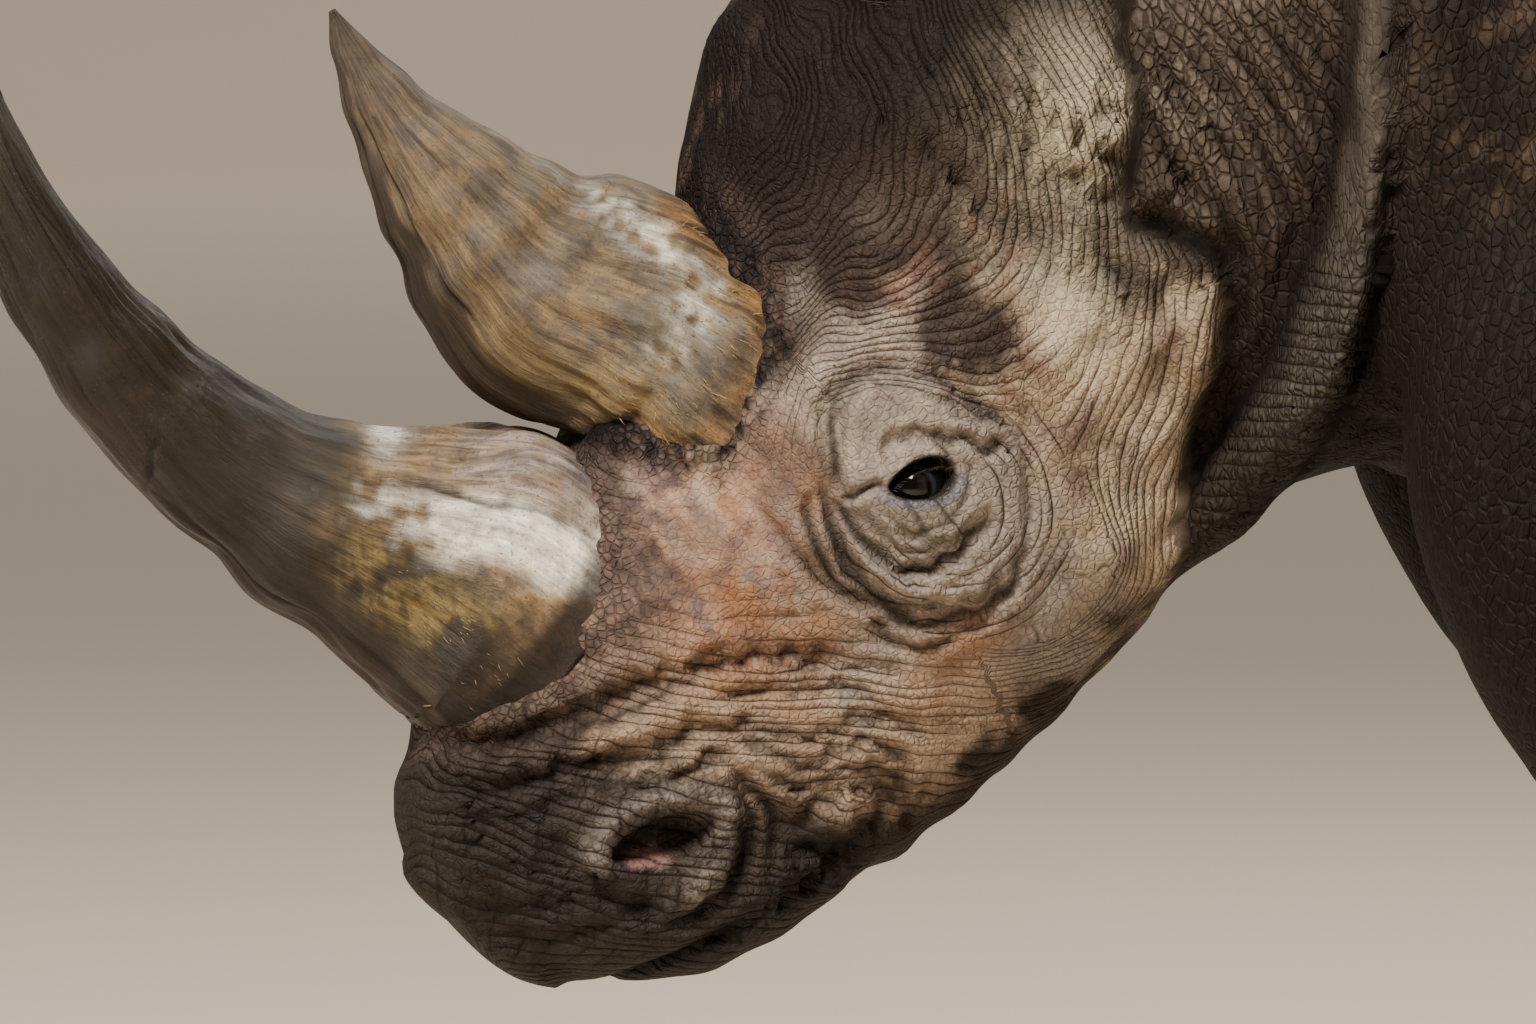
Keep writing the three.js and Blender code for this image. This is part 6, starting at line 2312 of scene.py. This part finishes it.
FRONT_HORN = FrontHorn(
    Piece.HORN_FRONT,
    "horn_front",
    (
        (191, 90, 94, 72),
        (192, 146, 94, 73),
        (200, 178, 84, 63),
        (212, 218, 70, 54),
        (225, 270, 56, 47),
        (230, 330, 46, 40),
        (224, 400, 38, 35),
        (204, 470, 31, 29),
        (172, 545, 25, 24),
        (130, 613, 18.5, 18),
        (84, 672, 11.5, 11),
        (46, 712, 4, 4),
    ),
    101,
)
REAR_HORN = RearHorn(
    Piece.HORN_REAR,
    "horn_rear",
    (
        (12, 98, 76, 84),
        (12, 150, 75, 78),
        (19, 186, 75, 68),
        (31, 228, 74, 56),
        (29, 268, 60, 47),
        (20, 315, 43, 37),
        (8, 362, 28, 26),
        (-8, 404, 14, 13),
        (-20, 428, 4, 4),
    ),
    111,
    210,
    200,
)


# ------------------------------------------------------------------ eyes, nails and hair


@dataclass(frozen=True)
class EyeFinish:
    """A wet eye: dark iris, darker pupil and a bluish rim."""

    rough: float = 0.06

    def made(self) -> bpy.types.Material:
        """The material, which reads the ball's own colours."""
        finish, n, shader = material("eye")
        tint, _ = n.attribute("tint")
        inputs = {
            "Base Color": tint,
            "Roughness": self.rough,
            "Specular IOR Level": 0.2,
            "Coat Weight": 0.3,
            "Coat Roughness": 0.02,
        }
        n.fill(shader, inputs)
        return finish


@dataclass
class Eyes:
    """Both eyeballs, each with a low cornea."""

    cornea: float = 1.4
    rows: int = 64
    columns: int = 72

    def ball(self, axes: Axes) -> Body:
        """One ball: rings about the axis that it looks along, raised over the iris."""
        look = unit(np.array([0.22, 0.95, 0.24]))
        first = unit(np.cross(look, [0, 0, 1.0]))
        second = np.cross(look, first)
        tip, around = lattice(np.linspace(0.01, math.pi - 0.01, self.rows), turns(self.columns))
        radius = EYE_RADIUS - 0.3 + self.cornea * np.clip(1 - (tip / 0.62) ** 2, 0, 1)
        ring = np.cos(around)[:, None] * first + np.sin(around)[:, None] * second
        way = np.cos(tip)[:, None] * look + np.sin(tip)[:, None] * ring
        points = axes.world(np.array([0, EYE_SEAT, 0]) + way * radius[:, None])
        iris = 1 - step_up(tip, 0.56, 0.64)
        ray = wobble(wrapped(around, 9, tip * 4), 3, 121)
        tint = layered(
            linear(24, 20, 21),
            (linear(30, 25, 24), step_up(tip, 0.95, 1.3)),
            (linear(70, 78, 92), np.exp(-(((tip - 0.68) / 0.07) ** 2)) * 0.25),
            (linear(18, 10, 7), iris * (1 + 0.2 * ray)),
            (linear(5, 4, 4), 1 - step_up(tip, 0.30, 0.36)),
        )
        return oriented(Body(points, closed_faces(self.rows, self.columns), {"tint": rgba(tint)}))

    def body(self) -> Body:
        """Both balls."""
        return Body.joined([self.ball(HEAD), self.ball(HEAD.mirrored())])


@dataclass(frozen=True)
class NailFinish:
    """Scuffed dark nail with dust in its ridges."""

    rough: float = 0.62
    groove: Four = (0.055, 0.042, 0.032, 1)
    ridge: Four = (0.16, 0.125, 0.09, 1)
    dust: Four = (0.30, 0.235, 0.165, 1)

    def made(self, grain: Group) -> bpy.types.Material:
        """The material, which reads Object coordinates."""
        finish, n, shader = material("nail")
        place = n.add("TexCoord", out="Object")
        fine = grain.use(n, Place=place, Size=0.004)
        ridge = n.noise(n.vector("DIVIDE", place, (0.004, 0.004, 0.05)), 1.0, 3)
        colour = n.mix(ridge, self.groove, self.ridge)
        inputs = {
            "Base Color": n.mix(n.step(fine["Drift"], 0.45, 0.7), colour, self.dust),
            "Roughness": n.math("MULTIPLY_ADD", fine["Relief"], 0.25, self.rough - 0.1),
            "Normal": n.bump(n.math("ADD", ridge, fine["Relief"]), 0.0012, 0.9),
        }
        n.fill(shader, inputs)
        return finish


@dataclass
class Nails:
    """Three broad nails on each foot, ridged from top to edge."""

    plan: tuple[tuple[str, float, float], ...] = (
        ("inner", -58, 36),
        ("middle", 0, 48),
        ("outer", 58, 36),
    )
    length: float = 120.0
    breadth: float = 112.0
    sunk: float = 16.0  # how far inside the foot's outline a nail's middle is
    outward: float = 24.0
    up: float = 34.0
    height: float = 36.0
    rows: int = 40
    columns: int = 64

    def nail(self, leg: Leg, degrees: float, half: float, seed: int) -> Body:
        """One nail: an ellipsoid squared off at its top and edge, with ridges down it."""
        fore, out = math.cos(math.radians(degrees)), math.sin(math.radians(degrees)) * leg.side
        x = leg.foot - fore * (self.length - self.sunk)
        y = leg.side * (STANCE - leg.inset) + out * (self.breadth - self.sunk)
        middle = np.array([x, y, self.height])
        tip, around = lattice(np.linspace(0.02, math.pi - 0.02, self.rows), turns(self.columns))
        x, y, z = np.sin(tip) * np.cos(around), np.sin(tip) * np.sin(around), np.cos(tip)
        uneven = wobble(np.stack([x * 3, y * 3, z], axis=1), 1.6, seed)
        ridges = 0.012 * np.sin(x * 26 + 2 * seed) + 0.02 * uneven
        face = np.clip(y, 0, 1)
        grow = 1 + ridges * face - 0.05 * np.exp(-(((z - 0.72) / 0.08) ** 2)) * face
        across, facing = np.array([out, fore, 0.0]), np.array([-fore, out, 0.0])
        points = middle + (x * half * grow)[:, None] * across
        points = points + (y * self.outward * grow)[:, None] * facing
        points[:, 2] += z * self.up * np.minimum(grow, 1)
        return oriented(Body(points, closed_faces(self.rows, self.columns)))

    def body(self) -> Body:
        """All twelve."""
        return Body.joined(
            [
                self.nail(leg, degrees, half, 3 * n + m)
                for n, leg in enumerate(LEGS.values())
                for m, (_, degrees, half) in enumerate(self.plan)
            ]
        )

    def nodes(self) -> list[str]:
        """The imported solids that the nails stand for."""
        feet = [name.replace("leg", "foot") for name in LEGS]
        return [f"{foot}_nail_{which}" for foot in feet for which, _, _ in self.plan]


@dataclass(frozen=True)
class HairFinish:
    """Coarse hair or frayed fibre in one range of colour."""

    name: str
    root: Four
    tip: Four
    uneven: float = 0.5
    shade: Four = (0.02, 0.015, 0.012, 1)

    def made(self) -> bpy.types.Material:
        """The material; the points carry how far along its strand each is."""
        finish, n, shader = material(self.name)
        run, shade, _, _ = n.parts("strand")
        colour = n.mix(run, self.root, self.tip)
        colour = n.mix(n.times(shade, self.uneven), colour, self.shade)
        n.fill(shader, {"Base Color": colour, "Roughness": 0.6})
        return finish


def strands(
    roots: Array, runs: Array, bends: Array, width: Array, at: Array | None, steps: int = 4
) -> Body:
    """Tapered three-sided hairs, each on a curve root + t * run + t^2 * bend.

    Args:
        roots: Where they grow.
        runs: Their first direction times their length.
        bends: How far their tips are carried off.
        width: Their half width at the root.
        at: Each root's place on the hide's unwrap.
        steps: Rings along a hair.

    Returns:
        All the hairs as one body.
    """
    count = len(roots)
    t = np.linspace(0, 1, steps)[None, :, None]
    line = roots[:, None] + t * runs[:, None] + t * t * bends[:, None]
    way = unit(runs[:, None] + 2 * t * bends[:, None])
    first = unit(np.cross(way, np.array([0.31, 0.57, 0.76])))
    second = np.cross(way, first)
    turn = turns(3)
    half = width[:, None, None, None] * (1 - 0.9 * t[..., None] ** 1.3)
    c, k = np.cos(turn)[:, None], np.sin(turn)[:, None]
    ring = c * first[:, :, None] + k * second[:, :, None]
    points = (line[:, :, None] + ring * half).reshape(-1, 3)
    caps = np.array([[2, 1, 0], [3 * steps - 3, 3 * steps - 2, 3 * steps - 1]])
    base = (np.arange(count) * 3 * steps)[:, None, None]
    four, three = (base + grid_faces(steps, 3)).reshape(-1, 4), (base + caps).reshape(-1, 3)
    run = np.broadcast_to(t, (count, steps, 3)).ravel()
    shade = np.repeat(np.random.default_rng(count).random(count), steps * 3)
    strand = np.stack([run, shade, 0 * run, np.ones(len(run))], axis=1)
    uv = None
    if at is not None:
        level = np.repeat(np.linspace(-1, 1, steps), 3)
        offset = 0.0014 * np.stack([np.tile(np.cos(turn), steps), level], axis=1)
        spot = (at[:, None] + offset).reshape(-1, 2)
        uv = np.clip(spot[np.concatenate([four.ravel(), three.ravel()])], 0, 1)
    return Body(points, four.tolist() + three.tolist(), {"strand": strand}, uv)


@dataclass
class Hair:
    """Tail tuft, ear fringes, lashes and the frayed fibres of the horns."""

    seed: int = 7

    def __post_init__(self) -> None:
        """Starts its random draws."""
        self.rng = np.random.default_rng(self.seed)

    def tail(self) -> Body:
        """Stiff dark hairs in two combs along the end of the tail, hanging past its tip."""
        rng, count = self.rng, 900
        up = 668 + 230 * rng.random(count) ** 1.25
        side = np.where(rng.random(count) < 0.5, -1.0, 1.0)
        spread = rng.normal(size=count) * 0.35
        roots = np.stack([2406 + side * 15 * np.cos(spread), 15 * np.sin(spread), up], axis=1)
        length = np.minimum(rng.uniform(70, 175, count), up - 548)
        runs = np.stack([side * length * 0.12, spread * length * 0.1, -length * 0.86], axis=1)
        runs += rng.normal(size=(count, 3)) * length[:, None] * 0.035
        bends = np.stack([-side * length * 0.12, 0 * up, -length * 0.1], axis=1)
        turn = (np.arctan2(roots[:, 1], roots[:, 0] - 2406) / TURN) % 1
        at = in_box(TAIL_BOX, turn, (1238 - up) / 600)
        return strands(roots, runs, bends, rng.uniform(0.7, 1.3, count), at, 5)

    def ears(self, ears: Sequence[Ear]) -> Body:
        """Short soft hairs along the rims and tips of the ears."""
        bodies = []
        rng, count = self.rng, 620
        for ear in ears:
            run = rng.uniform(0.34, 0.995, count)
            rim = np.where(rng.random(count) < 0.5, 0.0, 0.5) + rng.normal(size=count) * 0.012
            rim = np.clip(rim % 1, 0.002, 0.998)
            roots, _ = ear.surface(run, rim)
            _, along, mouth, _ = ear.directions()
            centre, _ = ear.surface(run, np.full(count, 0.25))
            away = unit(roots - centre)
            length = rng.uniform(9, 26, count) * (0.5 + 0.6 * run)
            way = 0.75 * away + 0.65 * along + 0.25 * mouth + rng.normal(size=(count, 3)) * 0.16
            bends = along * (length * 0.2)[:, None]
            width, at = rng.uniform(0.28, 0.5, count), in_box(ear.box, rim, run)
            bodies.append(strands(roots, way * length[:, None], bends, width, at))
        return Body.joined(bodies)

    def lashes(self) -> Body:
        """A row of short lashes on each upper lid and a few on the lower."""
        bodies = []
        rng = self.rng
        for axes in (HEAD, HEAD.mirrored()):
            turn = np.concatenate([rng.uniform(0.35, 2.8, 40), rng.uniform(3.6, 5.8, 16)])
            above, one = turn < math.pi, np.ones(len(turn))
            upper = np.where(above, 1.0, 0.55)
            u, w = 19.5 * np.cos(turn), 8.8 * np.sin(turn) * np.where(above, 1.05, 1)
            c, k = math.cos(LID_SLANT), math.sin(LID_SLANT)
            l = EYE_SEAT + np.sqrt(np.maximum(25.6**2 - u * u - w * w, 9))
            roots = axes.world(np.stack([u * c - w * k, l, u * k + w * c], axis=1))
            length = rng.uniform(5, 10, len(turn)) * upper
            fore = 0.35 * c * np.cos(turn) - 0.5 * k
            way = np.stack([fore, 0.9 * one, 0.42 * np.sin(turn)], axis=1)
            runs = (way @ np.stack([axes.along, axes.side, axes.up])) * length[:, None]
            bends = -axes.up * (length * 0.35 * upper)[:, None]
            at = HEAD_CHART.placed(*HEAD_CHART.turn_and_run(roots))
            bodies.append(strands(roots, runs, bends, rng.uniform(0.25, 0.4, len(turn)), at))
        return Body.joined(bodies)

    def horn_fibres(self) -> Body:
        """Matted tufts on the front horn's mossy flank and ochre fibres at the horns' feet."""
        rng = self.rng
        bodies = []
        for horn, count, low, high, near, size, mossy in (
            (FRONT_HORN, 2600, 70, 190, 0.75, (2, 6), True),
            (FRONT_HORN, 500, 30, 56, 1.2, (4, 9), False),
            (REAR_HORN, 1500, 30, 90, 1.5, (4, 12), False),
        ):
            run = rng.uniform(low, high, count)
            side = rng.choice([-1.0, 1.0], count, p=[0.35, 0.65])
            turn = side * np.abs(rng.normal(0, 0.55, count) + near)
            roots, way, normal = self._on_horn(horn, run, turn)
            kept = np.ones(count, bool)
            if mossy:
                kept = FrontHorn.moss(HEAD.local(roots)) > rng.uniform(0.25, 0.8, count)
            length = rng.uniform(*size, count)
            down = -way * rng.uniform(0.5, 1.0, (count, 1))
            down = down + normal * rng.uniform(0.15, 0.5, (count, 1))
            runs = (down + rng.normal(size=(count, 3)) * 0.25) * length[:, None]
            bends = -normal * (length * 0.2)[:, None]
            width = rng.uniform(0.25, 0.6, count)
            bodies.append(strands(roots[kept], runs[kept], bends[kept], width[kept], None))
        return Body.joined(bodies)

    @staticmethod
    def _on_horn(horn: Horn, run: Array, turn: Array) -> tuple[Array, Array, Array]:
        """Points on a horn at given runs and turns, with the way up it and out of it."""
        curve = bent_line(horn.table)

        def at(place: Array) -> Array:
            """The point at a place along the horn."""
            along, up, half_length, half_breadth = curve.at(place)
            ahead, higher, _, _ = curve.at(place + 1)
            way = np.stack([ahead - along, higher - up])
            way /= np.linalg.norm(way, axis=0)
            extra, square = horn.spread(place, turn), squareness(place)
            fore = rounded(np.cos(turn), square) * (half_length + extra)
            side = rounded(np.sin(turn), square) * (half_breadth + extra)
            return HEAD.world(np.stack([along + fore * way[1], side, up - fore * way[0]], axis=1))

        here, above = at(run), at(run + 2)
        along, up, _, _ = curve.at(run)
        normal = unit(here - HEAD.world(np.stack([along, 0 * run, up], axis=1)))
        return here - normal * 0.6, unit(above - here), normal


# ------------------------------------------------------------------ the studio


@dataclass(frozen=True)
class Lamp:
    """A square soft lamp: its places are from the head's middle on the ground, in metres."""

    name: str
    at: tuple[float, float, float]
    aim: tuple[float, float, float]
    size: float
    power: float
    colour: tuple[float, float, float]

    def hang(self, middle: Array) -> None:
        """Puts the lamp over a middle, turned to its aim."""
        light = bpy.data.lights.new(self.name, "AREA")
        light.shape, light.size, light.energy = "SQUARE", self.size, self.power
        light.color = self.colour
        at, aim = middle + np.array(self.at), middle + np.array(self.aim)
        stand_at(bpy.data.objects.new(self.name, light), at, aim - at)


@dataclass
class Studio:
    """A pale floor that curves up far off on every side, soft lamps and the camera."""

    shift: Array
    colour: Four = (0.80, 0.67, 0.52, 1)
    sky: Four = (0.92, 0.95, 1.0, 1)
    glow: float = 0.24
    flat: float = 30.0  # radius of the flat floor, in metres
    reach: float = 42.0  # half the side of the whole sheet
    lines: int = 85  # points along its side
    rise: float = 0.12
    distance: float = 4800.0  # from the camera to what it looks at, in millimetres
    down: float = 4.0  # how far the camera looks down, in degrees
    target: tuple[float, float] = (-57.5, 598.0)  # place along the animal, and height
    lens: float = 187.5
    lamps: tuple[Lamp, ...] = (
        Lamp("key", (-0.8, -2.3, 3.2), (0.1, 0, 0.62), 1.1, 300, (1.0, 0.96, 0.9)),
        Lamp("fill", (2.6, -3.6, 1.6), (0.2, 0, 0.6), 3.0, 10, (0.9, 0.95, 1.0)),
        Lamp("ground", (0, 26, 20), (0, 26.5, 0), 14.0, 1500, (1.0, 0.97, 0.93)),
        Lamp("back", (1.4, 2.6, 3.2), (0.4, 0, 0.8), 2.4, 60, (1.0, 0.97, 0.93)),
    )

    def sweep(self) -> None:
        """The floor as one sheet: height = rise * (radius - flat)^2 beyond its flat middle."""
        side = np.linspace(-self.reach, self.reach, self.lines)
        x, y = lattice(side, side)
        beyond = np.clip(np.hypot(x, y) - self.flat, 0, 14)
        points = np.stack([x, y, self.rise * beyond**2 - 0.001], -1)
        faces = grid_faces(self.lines, self.lines, closed=False)[:, ::-1]
        mesh = bpy.data.meshes.new(Piece.FLOOR.value)
        mesh.from_pydata(points.tolist(), [], faces.tolist())
        mesh.polygons.foreach_set("use_smooth", np.ones(len(mesh.polygons), bool))
        finish, n, shader = material("floor")
        n.fill(shader, {"Base Color": self.colour, "Roughness": 0.9})
        mesh.materials.append(finish)
        floor = bpy.data.objects.new(Piece.FLOOR.value, mesh)
        bpy.context.scene.collection.objects.link(floor)

    def build(self) -> None:
        """Floor, lamps, surrounding light and camera."""
        self.sweep()
        middle = (self.shift + HEAD.origin) * METRES
        for lamp in self.lamps:
            lamp.hang(middle * [1, 1, 0])
        world = bpy.data.worlds.new("studio")
        world.use_nodes = True
        light = world.node_tree.nodes["Background"]
        Nodes(world.node_tree).fill(light, {"Color": self.sky, "Strength": self.glow})
        bpy.context.scene.world = world
        camera = bpy.data.cameras.new("camera")
        camera.lens, camera.sensor_width, camera.clip_end = self.lens, 36, 200
        tip = math.radians(self.down)
        way = np.array([0, math.cos(tip), -math.sin(tip)])
        along, height = self.target
        target = np.array([self.shift[0] + along, self.shift[1] + HEAD_SIDE - 15, height])
        eye = bpy.data.objects.new("camera", camera)
        stand_at(eye, (target - way * self.distance) * METRES, way)
        bpy.context.scene.camera = eye


def stand_at(made: bpy.types.Object, at: Array, way: Array) -> None:
    """Puts a lamp or camera into the scene, looking along a way with its top kept upright."""
    made.location = at
    made.rotation_mode = "QUATERNION"
    made.rotation_quaternion = Vector(way.tolist()).to_track_quat("-Z", "Y")
    bpy.context.scene.collection.objects.link(made)


# ------------------------------------------------------------------ assembling


def main() -> None:
    """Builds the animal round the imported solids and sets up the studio."""
    logging.basicConfig(level=logging.INFO, format="%(name)s: %(message)s")
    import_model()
    stand = Stand.under_solids()
    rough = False
    plates, ridges, mottle, grain = plates_group(), ridges_group(), mottle_group(), grain_group()
    flesh = Flesh()
    hide = Hide(cell=5.6 if rough else Hide.cell)
    ears = [Ear(HEAD, EAR_BOXES[0]), Ear(HEAD.mirrored(), EAR_BOXES[1])]
    skin = Body.joined([hide.net(flesh), *[ear.body() for ear in ears], tail_body()])
    stand.put(Piece.SKIN, skin, HideFinish().made(plates, ridges, mottle, grain), "hide", FLESH_NODES)
    horns = (FRONT_HORN, HornFinish("horn_olive", 0.5)), (REAR_HORN, HornFinish("horn_gold", 0.6))
    for horn, finish in horns:
        made = finish.made(mottle, grain)
        stand.put(horn.name, horn.body(0.5 if rough else 1.0), made, "horn", [horn.node])
    stand.put(Piece.EYES, Eyes().body(), EyeFinish().made(), "eye", ["eye_left", "eye_right"])
    nails = Nails()
    stand.put(Piece.NAILS, nails.body(), NailFinish().made(grain), "nail", nails.nodes())
    hair = Hair()
    dark = HairFinish("hair", (0.03, 0.022, 0.018, 1), (0.07, 0.05, 0.038, 1)).made()
    stand.put(Piece.TAIL_HAIR, hair.tail(), dark, "hide")
    stand.put(Piece.EAR_HAIR, hair.ears(ears), dark, "hide")
    stand.put(Piece.LASHES, hair.lashes(), dark, "hide")
    ochre = HairFinish("frayed_fibre", (0.20, 0.13, 0.045, 1), (0.42, 0.32, 0.13, 1), 0.25).made()
    stand.put(Piece.FIBRES, hair.horn_fibres(), ochre, "horn")
    Studio(stand.shift).build()


if __name__ == "__main__":
    main()
